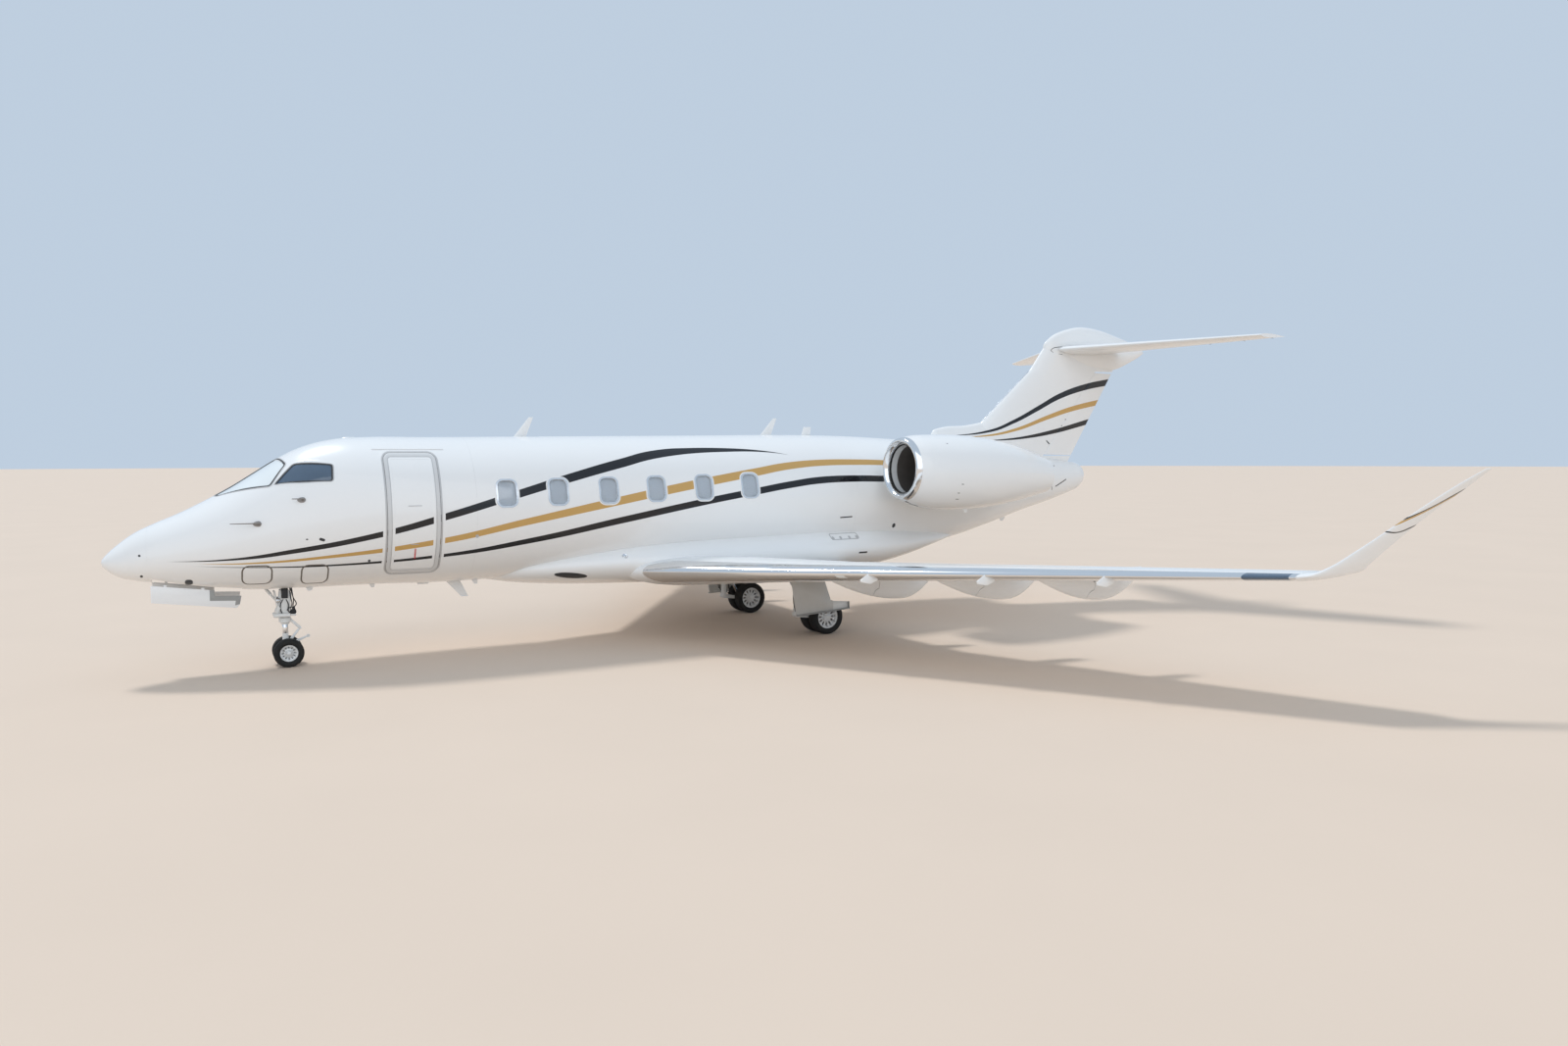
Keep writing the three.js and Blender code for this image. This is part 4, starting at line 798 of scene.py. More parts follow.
def makeFairing():
    shell = loft("shown_fairing", [ring(row, fairing["sides"]) for row in fairingRows])
    x, y, r, top = fairing["well"]
    wells = [prism("tool", circle(x, s * y, 0.5, r, sides=40), (0, 0, top - 0.5)) for s in (-1, 1)]
    inside = loft("tool", [ring(row, 64, -0.03) for row in bodyRows if -6 < row[0] < 6])
    carve(shell, *wells, inside)
    fit(shell, "airframe", whitePaint, "belly_fairing")


makeFairing()
print("fairing made")


# Wings
wing = {
    "leadX": -2.75, "leadY": 1.25, "sweep": 0.633, "leadZ": 1.27, "dihedral": 0.0509, "rootY": 0.95,
    "kinkY": 3.6, "tipY": 9.56, "trail": (1.24, 1.35, 3.665), "twist": (2, -0.5), "thick": (0.125, 0.1),
    "stops": 30, "edge": ((-2.38, 1.25), (2.7, 9.7)), "touch": 0.0015, "cap": (1.24, 3),
    "stations": (0.95, 1.5, 2.2, 2.9, 3.45, 3.6, 3.75, 4.5, 5.5, 6.5, 7.5, 8.5, 9.56),
    "lens": (9.1, 9.02, 9.5), "lamp": (4.25, 4.38, 0.015, 0.1), "reach": (-6, 6, 10.5),
}
flaps = {
    "inner": {"ends": ((0.3, 1.4), (0.66, 3.53)), "drop": 0.41},
    "outer": {"ends": ((0.766, 3.75), (2.27, 7.19)), "drop": 0.365},
    "gap": 0.01, "seat": 0.075, "past": 0.9, "aft": 2.6, "cove": 0.17, "tall": 0.9,
    "front": (-0.03, -0.04),  # where the flap and the gap for it start, from the hinge line
}
aileron = ((2.4, 7.3), (3.245, 9.33))
canoes = [  # y, front, lowest place, back, height there, flap that carries the rear
    (3.2, -0.6, 1.19, 1.9, 0.785, "inner"), (4.99, 0.25, 1.93, 2.66, 0.93, "outer"),
    (6.6, 0.9, 2.33, 3.14, 1.085, "outer"),
]


def leadX(y):
    return wing["leadX"] + (y - wing["leadY"]) * wing["sweep"]


def trailX(y):
    root, kink, tip = wing["trail"]
    if y < wing["kinkY"]:
        return mapped(y, wing["rootY"], wing["kinkY"], root, kink)
    return mapped(y, wing["kinkY"], wing["tipY"], kink, tip)


def chordZ(x, y):
    twist = math.radians(mapped(y, wing["rootY"], wing["tipY"], *wing["twist"]))
    return wing["leadZ"] + (y - wing["leadY"]) * wing["dihedral"] - (x - leadX(y)) * math.sin(twist)


def foilHeight(s, thick):
    shape = 0.2969 * math.sqrt(s) - 0.126 * s - 0.3516 * s**2 + 0.2843 * s**3 - 0.1015 * s**4
    return 5 * thick * shape + 0.0012 * s


def foilRing(front, chord, thick, place, stops=wing["stops"]):
    shares = [0.5 - 0.5 * math.cos(math.pi * k / stops) for k in range(stops, 0, -1)]
    upper = [place(front + s * chord, chord * foilHeight(s, thick)) for s in shares]
    lower = [place(front + s * chord, -chord * foilHeight(s, thick)) for s in reversed(shares)]
    return upper + [place(front, 0)] + lower


def wingRing(y):
    thick = mapped(y, wing["rootY"], wing["tipY"], *wing["thick"])
    return foilRing(leadX(y), trailX(y) - leadX(y), thick, lambda x, up: (x, -y, chordZ(x, y) + up))


# A frame on a hinge line: aft, along and up from its start.
def hingeFrame(start, end):
    start, end = Vector(start), Vector(end)
    along = (end - start).normalized()
    aft = (Vector((1, 0, 0)) - along * along.x).normalized()
    return {"start": start, "along": along, "aft": aft, "up": along.cross(aft),
            "length": (end - start).length}


def hingeBlock(f, a0, a1, s0, s1, u0, u1):
    spots = [f["start"] + f["aft"] * a + f["along"] * s0 + f["up"] * u
             for a, u in ((a0, u0), (a1, u0), (a1, u1), (a0, u1))]
    return prism("tool", spots, f["along"] * (s1 - s0))


def hingeRod(f, s0, s1, r0, r1=None, sides=32):
    ends = []
    for s, r in ((s0, r0), (s1, r0 if r1 is None else r1)):
        centre = f["start"] + f["along"] * s
        ends.append([centre + f["aft"] * r * math.cos(a) + f["up"] * r * math.sin(a) for a in turns(sides)])
    return loft("tool", ends)


# A control surface with a round nose inside the fixed part.
def splitSurface(whole, f, r0, r1, name, gap=0.01):
    made = []
    for grow in (0, gap):
        ends = (-grow, f["length"] + grow)
        block = hingeBlock(f, 0, 1.5, *ends, -0.3, 0.3)
        made.append(carve(block, hingeRod(f, *ends, r0 + grow, r1 + grow), operation="UNION"))
    moving = carve(copyOf(whole, name), made[0], operation="INTERSECT")
    carve(whole, made[1])
    return moving


def canoe(row, stops=26, sides=28):
    y, x0, xLow, x1, zLow, _ = row
    rings = []
    for k in range(stops + 1):
        x = mapped(0.5 - 0.5 * math.cos(math.pi * k / stops), 0, 1, x0, x1)
        share = (x - x0) / (xLow - x0) if x < xLow else (x1 - x) / (x1 - xLow)
        depth = math.sin(math.pi / 2 * max(share, 0.005)) ** (1 if x < xLow else 0.75)
        wingZ = min(chordZ(x, y), chordZ(trailX(y), y) + 0.2)
        top, bottom = wingZ + 0.008, mapped(depth, 0, 1, wingZ - 0.012, zLow)
        half = 0.105 * max(0.04, math.sin(math.pi * min(0.97, 0.5 * depth + 0.01)))
        rings.append(ring((x, top, bottom, half, (top + bottom) / 2 + (top - bottom) * 0.15), sides, 0, -y))
    return loft("canoe", rings)


# Makes tools that cut the wing from above; their corners hold x and the distance from the middle.
def wingTool(corners, foot=-1, head=3):
    return lambda: prism("tool", [(x, -y, foot) for x, y in corners], (0, 0, head - foot))


def makeEdges(whole):
    (x0, y0), (x1, y1) = wing["edge"]
    ahead, behind, past = wing["reach"]
    rootX, endX = mapped(0, y0, y1, x0, x1), mapped(past, y0, y1, x0, x1)
    area = lambda shift: [(ahead, 0), (rootX + shift, 0), (endX + shift, past), (ahead, past)]
    strip = carve(copyOf(whole, "strip"), wingTool(area(-wing["touch"]))(), operation="INTERSECT")
    carve(whole, wingTool(area(wing["touch"]))())
    front, rear, outer = wing["lens"]
    corners = [(ahead, front), (behind, rear), (behind, outer), (ahead, outer)]
    lens = takenFrom(strip, "lens", wingTool(corners))
    inner, outer, near, far = wing["lamp"]
    corners = [(leadX(y) + x, y) for y, x in ((inner, near), (inner, far), (outer, far), (outer, near))]
    ceiling = chordZ(leadX(inner), inner) - 0.02
    lamp = takenFrom(strip, "lamp", wingTool(corners, 0.8, ceiling))
    pair(lamp, "landing_lens", screenGlass)
    wide, rear = wing["cap"]
    cap = takenFrom(strip, "cap", wingTool([(ahead, 0), (rear, 0), (rear, wide), (ahead, wide)]))
    pair(cap, "wing_root_cap", whitePaint)
    pair(strip, "shown_leading_edge", silver, node="leading_edge_{}")
    pair(lens, "wingtip_lens", glass)


# The fairing of a flap track, cut on the flap's hinge line: its fixed front and its moving rear.
def splitCanoe(row, f, drop):
    form, tall = canoe(row), flaps["tall"]
    rear = copyOf(form, "rear")
    along = (-flaps["past"], f["length"] + flaps["past"])
    for target, gap, operation in ((rear, 0, "INTERSECT"), (form, flaps["gap"], "DIFFERENCE")):
        behind = hingeBlock(f, -gap, flaps["aft"], *along, -tall, tall)
        carve(behind, hingeRod(f, *along, flaps["seat"] + gap), operation="UNION")
        carve(target, behind, operation=operation)
    ends = (-flaps["gap"], f["length"] + flaps["gap"])
    carve(form, hingeBlock(f, flaps["front"][1], flaps["aft"], *ends, drop - flaps["cove"], tall))
    return form, rear


def makeFlaps(whole):
    fronts = []
    (start, gapStart), aft, tall = flaps["front"], flaps["aft"], flaps["tall"]
    for name in ("inner", "outer"):
        flap = flaps[name]
        f = hingeFrame(*[(x + 0.03, -y, chordZ(x, y) - flap["drop"]) for x, y in flap["ends"]])
        part = copyOf(whole, "flap_" + name)
        carve(part, hingeBlock(f, start, aft, 0, f["length"], -tall, tall), operation="INTERSECT")
        ends = (-flaps["gap"], f["length"] + flaps["gap"])
        carve(whole, hingeBlock(f, gapStart, aft, *ends, -tall, tall))
        halves = [splitCanoe(row, f, flap["drop"]) for row in canoes if row[-1] == name]
        fronts += [front for front, rear in halves]
        body = "flap_%s_{}" % name
        pair(part, "shown_flap_" + name, whitePaint, body, body)
        pair(joined([rear for front, rear in halves], "rear"), "canoe_tails_" + name, whitePaint, body)
    pair(joined(fronts, "front"), "canoe_fronts", whitePaint)


def makeWings():
    whole = loft("wing", [wingRing(y) for y in wing["stations"]])
    makeEdges(whole)
    makeFlaps(whole)
    radii = []
    for x, y in aileron:
        chord = trailX(y) - leadX(y)
        thick = mapped(y, wing["rootY"], wing["tipY"], *wing["thick"])
        radii.append(chord * foilHeight((x - leadX(y)) / chord, thick))
    line = hingeFrame(*[(x, -y, chordZ(x, y)) for x, y in aileron])
    moving = splitSurface(whole, line, *radii, "aileron")
    pair(moving, "shown_aileron", whitePaint, "aileron_{}", "aileron_{}")
    pair(whole, "shown_wing", whitePaint, node="wing_{}")


winglet = [  # nose x, y, z, chord, thickness, lean
    (2.52, 9.5603, 1.693, 1.14, 0.112, 0), (2.62, 9.69, 1.722, 1.04, 0.096, 22),
    (2.83, 9.79, 1.815, 0.82, 0.07, 50), (3.18, 9.905, 2.01, 0.64, 0.052, 58.5),
    (3.83, 10.125, 2.41, 0.43, 0.036, 58.5), (4.55, 10.385, 2.85, 0.28, 0.024, 58.5),
    (4.89, 10.499, 3.025, 0.13, 0.014, 58.5),
]


def makeWinglets():
    rings = []
    for front, y, z, chord, thick, lean in smoothRows(winglet, 7):
        a = math.radians(lean)
        rings.append(foilRing(front, chord, thick / chord,
                              lambda x, up: (x, -y + up * math.sin(a), z + up * math.cos(a)), 20))
    pair(loft("winglet", rings), "shown_winglet", wingletPaint, node="winglet_{}")


makeWings()
makeWinglets()
print("wings made")


# Fin, rudder, bullet and tailplane
finTable = {
    "stations": [  # z, front, back, half thickness
        (3.0, 5.0, 8.03, 0.165), (3.7, 5.33, 8.485, 0.165), (3.93, 5.54, 8.634, 0.16),
        (5.125, 6.935, 9.423, 0.14), (5.6, 7.3, 9.7, 0.13)],
    "bullet": [
        (7.315, 5.62, 5.5, 0.01, 5.56), (7.33, 5.7, 5.44, 0.045, 5.56), (7.45, 5.815, 5.37, 0.095, 5.58),
        (7.62, 5.925, 5.335, 0.125, 5.585), (7.9, 6.03, 5.31, 0.15, 5.585), (8.35, 6.127, 5.22, 0.174, 5.58),
        (8.965, 6.1, 5.19, 0.178, 5.58), (9.46, 6.0, 5.205, 0.158, 5.58), (10.0, 5.86, 5.4, 0.1, 5.61),
        (10.39, 5.715, 5.59, 0.04, 5.655), (10.454, 5.675, 5.63, 0.012, 5.652)],
    "spine": [
        (4.195, 3.58, 3.3, 0.02, 3.45), (4.2, 3.64, 3.3, 0.055, 3.45), (4.27, 3.752, 3.3, 0.09, 3.45),
        (4.42, 3.8, 3.3, 0.108, 3.45), (5.12, 3.864, 3.3, 0.13, 3.45),
        (5.7, 3.96, 3.3, 0.14, 3.45)],
    "heights": (3.0, 3.25, 3.5, 3.6, 3.7, 3.8, 3.93, 4.2, 4.6, 5.0, 5.125, 5.4, 5.6),
    "hinge": ((7.292, 3.222), (8.858, 5.112)), "footRise": 0.042, "gaps": (0.014, 0.044), "past": 0.4,
    "noses": (1.05, 0.95), "edgeStrip": (3.97, 5.08, 0.014),
    "zone": (6.9, 8.4, 9.6, 0.6),  # front, step, rear, half width
}
tail = {
    "rootY": 0.186, "tipY": 3.72, "z": 5.585, "rise": 0.02, "front": (7.61, 9.7), "back": (9.42, 10.455),
    "thick": 0.1, "hinge": 0.68, "elevator": (0.215, 3.56), "stations": (0.186, 0.9, 1.6, 2.3, 3.0, 3.72),
}


def finHalf(x, z):
    front, back, half = lookUp(finTable["stations"], z, 1, 2, 3)
    chord = back - front
    return chord * foilHeight((x - front) / chord, 2 * half / chord)


# A zone that holds the rudder; its lower edge runs from one height ahead to another behind.
def rudderZone(ahead, foot, top):
    front, step, rear, half = finTable["zone"]
    corners = [(front, ahead), (step, foot), (rear, foot), (rear, top), (front, top)]
    return prism("tool", [(x, -half, z) for x, z in corners], (0, 2 * half, 0))


def makeFin():
    rings = []
    for z in finTable["heights"]:
        front, back, half = lookUp(finTable["stations"], z, 1, 2, 3)
        rings.append(foilRing(front, back - front, 2 * half / (back - front), lambda x, up: (x, up, z)))
    blade = loft("blade", rings)
    (x0, foot), (x1, top) = finTable["hinge"]
    radii = [finHalf(x, z) * share for (x, z), share in zip(finTable["hinge"], finTable["noses"])]
    f = hingeFrame((x0, 0, foot), (x1, 0, top))
    past = finTable["past"]
    long = hingeFrame(f["start"] - f["along"] * past, f["start"] + f["along"] * (f["length"] + past))
    below, above = finTable["gaps"]
    column = takenFrom(blade, "column", lambda: rudderZone(foot - below, foot - below, top + above))
    moving = splitSurface(column, long, *radii, "rudder")
    carve(moving, rudderZone(foot + finTable["footRise"], foot, top), operation="INTERSECT")
    fit(renamed(moving, "shown_rudder"), "rudder", finPaint, "rudder")
    carve(blade, column, operation="UNION")
    fit(renamed(blade, "shown_fin"), "airframe", finPaint, "fin")
    for name, key, sides, material in (("tail_bullet", "bullet", 48, whitePaint),
                                       ("fin_spine", "spine", 40, finPaint)):
        fit(loft(name, [ring(r, sides) for r in smoothRows(finTable[key], 6)]), "airframe", material)


def tailAt(y, edge):
    return mapped(y, tail["rootY"], tail["tipY"], *tail[edge])


def makeTailplane():
    high = lambda y: tail["z"] + (y - tail["rootY"]) * tail["rise"]
    chord = lambda y: tailAt(y, "back") - tailAt(y, "front")
    rings = []
    for y in tail["stations"]:
        place = lambda x, up: (x, -y, high(y) + up)
        rings.append(foilRing(tailAt(y, "front"), chord(y), tail["thick"], place))
    half = loft("half", rings)
    at = [(mapped(tail["hinge"], 0, 1, tailAt(y, "front"), tailAt(y, "back")), -y, high(y))
          for y in tail["elevator"]]
    radii = [chord(y) * foilHeight(tail["hinge"], tail["thick"]) for y in tail["elevator"]]
    moving = splitSurface(half, hingeFrame(*at), *radii, "elevator")
    pair(moving, "shown_elevator", whitePaint, "elevator_{}", "elevator_{}")
    fitJoined("shown_stabilizer", [half, mirrored(half, "right")], whitePaint, "stabilizer",
              body="stabilizer")


makeFin()
makeTailplane()
print("tail made")


# Engines
engine = {
    "y": 1.97, "sides": 80,
    "outer": [  # x, radius, height of the centre
        (2.085, 0.585, 2.968), (2.26, 0.636, 2.95), (2.5, 0.674, 2.925), (2.9, 0.7, 2.904),
        (3.4, 0.7, 2.895), (4.0, 0.655, 2.882), (4.7, 0.545, 2.868), (5.48, 0.35, 2.83)],
    "inner": [(5.48, 0.33, 2.83), (4.6, 0.43, 2.868), (3.1, 0.478, 2.898), (2.085, 0.447, 2.968)],
    "lip": [
        (2.0835, 0.585, 2.968), (2.055, 0.577, 2.97), (2.025, 0.566, 2.973), (1.997, 0.551, 2.975),
        (1.985, 0.532, 2.976), (1.985, 0.51, 2.976), (1.997, 0.49, 2.975), (2.025, 0.469, 2.973),
        (2.055, 0.454, 2.97), (2.0835, 0.447, 2.968)],
    "core": [
        (2.86, 0.12, 2.914), (2.87, 0.33, 2.914), (4.3, 0.34, 2.872), (4.7, 0.26, 2.86), (5.2, 0.185, 2.845),
        (5.64, 0.02, 2.832)],
    "fanX": 2.76, "fanZ": 2.91695, "fanRadius": 0.444, "hub": 0.13, "blades": 24, "twist": (28, 62),
    "bladeChord": (0.085, 0.115), "bladeThick": (0.012, 0.005),
    # The ring at the lip's inner seam marks a real joint; its black is painted shade for the shade in that
    # joint.
    "seal": [(2.084, 0.447, 2.968), (2.094, 0.436, 2.967), (2.118, 0.437, 2.966), (2.13, 0.448, 2.965)],
    "spinner": [(2.56, 0.002), (2.562, 0.02), (2.58, 0.048), (2.63, 0.085), (2.7, 0.118), (2.72, 0.128),
                (2.8, 0.13), (2.805, 0.02)],
    "pylon": [  # distance from the middle, front, rear, thickness
        (0.55, 2.65, 5.75, 0.32), (0.7, 2.75, 5.65, 0.3), (1.1, 2.85, 5.5, 0.27), (1.5, 2.95, 5.35, 0.24)],
    "pylonZ": 2.9,
}


def tubeRing(x, radius, z, sides):
    return [(x, radius * math.cos(a) - engine["y"], z + radius * math.sin(a)) for a in turns(sides)]


def makeBlade():
    rings = []
    for i in range(6):
        along = lambda ends: mapped(i, 0, 5, *ends)
        r = along((engine["hub"] * 0.9, engine["fanRadius"]))
        twist = math.radians(along(engine["twist"]))
        chord, thick = along(engine["bladeChord"]), along(engine["bladeThick"])
        spots = []
        for s, t in ((-0.5, 0), (-0.25, 0.9), (0.1, 1), (0.5, 0.1), (0.5, -0.1), (0.1, -0.3), (-0.25, -0.2)):
            u, v = s * chord, t * thick / 2 + 0.1 * chord * (0.25 - s * s)
            x, w = u * math.cos(twist) + v * math.sin(twist), u * math.sin(twist) - v * math.cos(twist)
            spots.append((engine["fanX"] + x, w, r))
        rings.append(spots)
    return loft("blade", rings)


def makeFans():
    blade = makeBlade()
    for side, y in (("left", -engine["y"]), ("right", engine["y"])):
        blades = []
        for a in turns(engine["blades"]):
            blades.append(copyOf(blade, "blade"))
            turn = Matrix.Translation((0, y, engine["fanZ"])) @ Matrix.Rotation(a, 4, "X")
            blades[-1].data.transform(turn)
        fitJoined("fan_blades_" + side, blades, engineMetal, "fan_" + side, body="fan_" + side)
    bpy.data.objects.remove(blade)


def makeEngines():
    sides = engine["sides"]
    tube = lambda name, rows, count=sides, **how: loft(name, [tubeRing(*r, count) for r in rows], **how)
    outer, inner = smoothRows(engine["outer"], 5), smoothRows(engine["inner"], 6)
    pair(tube("cowl", outer + inner, wrap=True), "shown_nacelle", whitePaint, node="nacelle_{}")
    lip = tube("lip", smoothRows(engine["lip"], 5), 144, wrap=True)
    pair(lip, "shown_inlet_lip", silver, node="inlet_lip_{}")
    # The inlet duct wall, coloured with painted shade.
    wall = tube("duct", [(x, r - 0.004, z) for x, r, z in inner if 2.09 < x < 3.2], fill=False)
    apply(wall, "SOLIDIFY", thickness=0.003, offset=0)
    pair(wall, "inlet_duct", ductPaintedShade)
    pair(tube("core", engine["core"], 48), "shown_core", engineMetal, node="engine_core_{}")
    makeFans()
    # The black ring in the lip's inner seam: painted shade in the joint.
    pair(tube("seal", engine["seal"], wrap=True), "inlet_seal", rubber, slot="dark_trim")
    spinner = tube("spinner", [(x, r, engine["fanZ"]) for x, r in engine["spinner"]], 40)
    pair(spinner, "spinner", darkTrim, "fan_{}", slot="engine_metal")
    rings = []
    for w, front, rear, thick in engine["pylon"]:
        place = lambda x, up: (x, -w, engine["pylonZ"] + up)
        rings.append(foilRing(front, rear - front, thick / (rear - front), place))
    pair(loft("pylon", rings), "shown_pylon", whitePaint, node="pylon_{}")


makeEngines()
print("engines made")


# Wheels and tyres
wheels = {
    "main": {
        "x": 0.604, "z": 0.31, "gap": 0.16, "width": 0.212, "radius": 0.31, "rim": 0.205, "axle": 0.036,
        "hole": (0.046, 0.019),
        "legs": [("main_wheels_left", -1.494, ("main_tyre_left_outer", "main_tyre_left_inner")),
                 ("main_wheels_right", 1.494, ("main_tyre_right_inner", "main_tyre_right_outer"))],
    },
    "nose": {
        "x": -8.094, "z": 0.215, "gap": 0.152, "width": 0.186, "radius": 0.215, "rim": 0.126, "axle": 0.03,
        "hole": (0.02, 0.01), "legs": [("nose_wheels", 0.0, ("nose_tyre_left", "nose_tyre_right"))],
    },
}
rimTable = {"sides": 72, "face": 0.34, "holes": 12, "holeAt": 0.68, "bolts": 10, "boltAt": 0.34,
            "boltRadius": 0.0075}
tread = {
    "half": 0.6, "grooves": (-0.44, -0.15, 0.15, 0.44), "grooveHalf": 0.022, "slant": 0.008, "depth": 0.007,
    "crown": 0.004, "sides": 96,
    "wall": [  # share of the half width, share of the height above the rim
        (0.7, 0.0), (0.8, 0.03), (0.88, 0.12), (0.975, 0.28), (1.0, 0.46), (0.985, 0.64), (0.92, 0.82),
        (0.8, 0.94), (0.68, 0.985)],
}


def tyreProfile(w):
    half, rim, high = w["width"] / 2, w["rim"], w["radius"] - w["rim"]
    crown = [tread["half"]]
    for g in reversed(tread["grooves"]):
        crown += [g + tread["grooveHalf"], g - tread["grooveHalf"]]
    crown.append(-tread["half"])
    top = []
    for i, a in enumerate(crown):
        level = w["radius"] - tread["crown"] * (a / tread["half"]) ** 2
        spots = [(a * half, level)]
        if 0 < i < len(crown) - 1:
            low = a + (-tread["slant"] if i % 2 else tread["slant"])
            spots.append((low * half, level - tread["depth"]))
        top += spots if i % 2 else spots[::-1]
    left = [(a * half, rim + s * high) for a, s in tread["wall"]]
    return left + top + [(-a, r) for a, r in reversed(left)]


def rimProfile(w):
    rim, half, hub = w["rim"], w["width"] * rimTable["face"], w["axle"]
    outer = [(1.0, rim), (1.0, rim - 0.010), (0.86, rim - 0.016), (0.8, rim - 0.03), (0.45, rim - 0.036),
             (0.36, rim - 0.05), (0.3, 0.74 * rim), (0.36, 0.46 * rim), (0.42, 0.4 * rim),
             (0.72, 0.36 * rim), (0.78, 0.31 * rim), (0.78, hub)]
    inner = [(0.1, hub), (0.1, 0.42 * rim), (0.05, 0.6 * rim), (0.02, rim - 0.045), (-0.9, rim - 0.03),
             (-1.0, rim - 0.012), (-1.0, rim)]
    return [(a * half, r) for a, r in outer + inner]


# One wheel at the origin, with its dished side towards -Y.
def makeRim(w):
    rim = turned("rim", rimProfile(w), (0, 0, 0), (0, -1, 0), rimTable["sides"], wrap=True)
    long, short = w["hole"]
    oval = [(long * math.cos(t) + rimTable["holeAt"] * w["rim"], short * math.sin(t)) for t in turns(16)]
    holes = []
    for a in turns(rimTable["holes"]):
        holes.append(prism("tool", [(u, 0.02, v) for u, v in spun(oval, a)], (0, -0.12, 0)))
    carve(rim, joined(holes, "tool"))
    reach = 0.78 * rimTable["face"] * w["width"]
    wide = w["axle"] * 1.15
    profile = [(0, wide), (0.012, wide), (0.02, wide * 0.85), (0.024, wide * 0.4)]
    parts = [rim, turned("cap", profile, (0, -reach + 0.002, 0), (0, -1, 0), 32)]
    for a in turns(rimTable["bolts"]):
        r = rimTable["boltAt"] * w["rim"]
        x, z = r * math.cos(a), r * math.sin(a)
        bolt = rod((x, -reach + 0.004, z), (x, -reach - 0.007, z), rimTable["boltRadius"], sides=6,
                   edge=0.0015)
        parts.append(bolt)
    return joined(parts, "rim")


def placed(piece, x, y, z, flip=False):
    other = mirrored(piece, "placed") if flip else copyOf(piece, "placed")
    other.data.transform(Matrix.Translation((x, y, z)))
    return other


def makeWheels():
    for w in wheels.values():
        rim = makeRim(w)
        tyre = turned("tyre", tyreProfile(w), (0, 0, 0), (0, -1, 0), tread["sides"], wrap=True)
        for body, leg, tyres in w["legs"]:
            rims = []
            for way, node in zip((-1, 1), tyres):
                spot = (w["x"], leg + way * w["gap"], w["z"])
                rims.append(placed(rim, *spot, way > 0))
                fit(renamed(placed(tyre, *spot), "shown_" + node), body, rubber, node)
            rims.append(pin(w["x"], leg, w["z"], w["gap"], w["axle"], 32))
            fitJoined("shown_" + body, rims, wheelMetal, body, body=body)
        bpy.data.objects.remove(rim)
        bpy.data.objects.remove(tyre)


wheelMetal = finish("wheel_metal", (0.74, 0.74, 0.73), "gear_metal", rough=0.4, metal=0.15, mottle=0.08,
                    size=40, bump=0.04)
gearPaint = finish("gear_paint", (0.76, 0.76, 0.74), "gear_metal", rough=0.4, coat=0.3, mottle=0.07, size=22,
                   grain=500, bump=0.04)
chrome = finish("strut_chrome", (0.82, 0.83, 0.84), "gear_metal", rough=0.08, metal=1.0, mottle=0.02,
                size=10, bump=0.01)
hoseRubber = finish("hose_rubber", (0.025, 0.025, 0.027), "dark_trim", rough=0.6, mottle=0.2, size=60,
                    grain=900, bump=0.15)
panelPaint = finish("gear_panel_paint", (0.6, 0.59, 0.56), rough=0.35, coat=0.4, mottle=0.05, size=8,
                    bump=0.03)
makeWheels()
print("wheels made")


# Nose gear
noseGear = {
    "x": -8.125, "foot": 0.64, "collar": (0.672, 0.742), "top": 1.385, "axle": (-8.094, 0.215),
    "width": 0.199, "brace": (-8.47, 1.33), "braceFoot": -8.15, "actuators": (-0.108, 0.108),
    "clips": (0.98, 1.1, 1.21), "lamps": (-0.075, 0.075), "lampZ": 1.02, "hose": 0.0075,
    "hoses": [  # distance behind the leg, y, z
        [(0.07, -0.06, 1.34), (0.1, -0.075, 1.2), (0.12, -0.06, 1.05), (0.16, -0.04, 0.94),
         (0.13, -0.03, 0.9)],
        [(0.06, -0.03, 1.34), (0.075, -0.055, 1.22), (0.08, -0.07, 1.08), (0.1, -0.06, 0.95),
         (0.07, -0.04, 0.86)],
        [(0.06, 0.03, 1.34), (0.1, 0.05, 1.15), (0.13, 0.04, 1.0), (0.11, 0.02, 0.86)],
        [(-0.02, -0.062, 1.03), (-0.055, -0.075, 0.97), (-0.06, -0.07, 0.88), (-0.04, -0.085, 0.81)],
        [(0.02, -0.062, 1.03), (0.05, -0.08, 0.95), (0.045, -0.085, 0.86), (0.07, -0.06, 0.81)],
        [(0.12, -0.05, 0.8), (0.15, -0.085, 0.82), (0.13, -0.1, 0.88), (0.06, -0.085, 0.9),
         (0.03, -0.075, 0.86)]],
}


def noseStrut(x, foot, top):
    low = noseGear["collar"][1] - foot
    profile = [(0, 0.05), (0.004, 0.059), (0.024, 0.061), (0.03, 0.0605), (low + 0.004, 0.0605),
               (low + 0.01, 0.07), (low + 0.03, 0.07), (low + 0.036, 0.06), (0.36, 0.058), (0.37, 0.066),
               (0.39, 0.066), (0.4, 0.06), (0.6, 0.06), (0.61, 0.064), (top - foot, 0.062)]
    return turned("strut", profile, (x, 0, foot), (0, 0, 1), 40)


# The folding drag brace: two side arms and one inner arm.
def noseBrace(half):
    x, z = noseGear["brace"]
    foot = noseGear["braceFoot"]
    knee = Vector((-8.165, 0, 0.9)).lerp(Vector((x, 0, z)), 0.5)
    parts = [pin(x, 0, z, half, 0.024, edge=0.004)]
    parts += [rod((foot, y, 0.88), (knee.x, y, knee.z), 0.014, sides=16) for y in (-0.034, 0.034)]
    parts.append(rod((knee.x + 0.01, 0, knee.z - 0.014), (x, 0, z), 0.023, 0.019, sides=20))
    return parts + [pin(knee.x, 0, knee.z, 0.055, 0.02, 20), pin(foot, 0, 0.885, 0.06, 0.022, 20)]


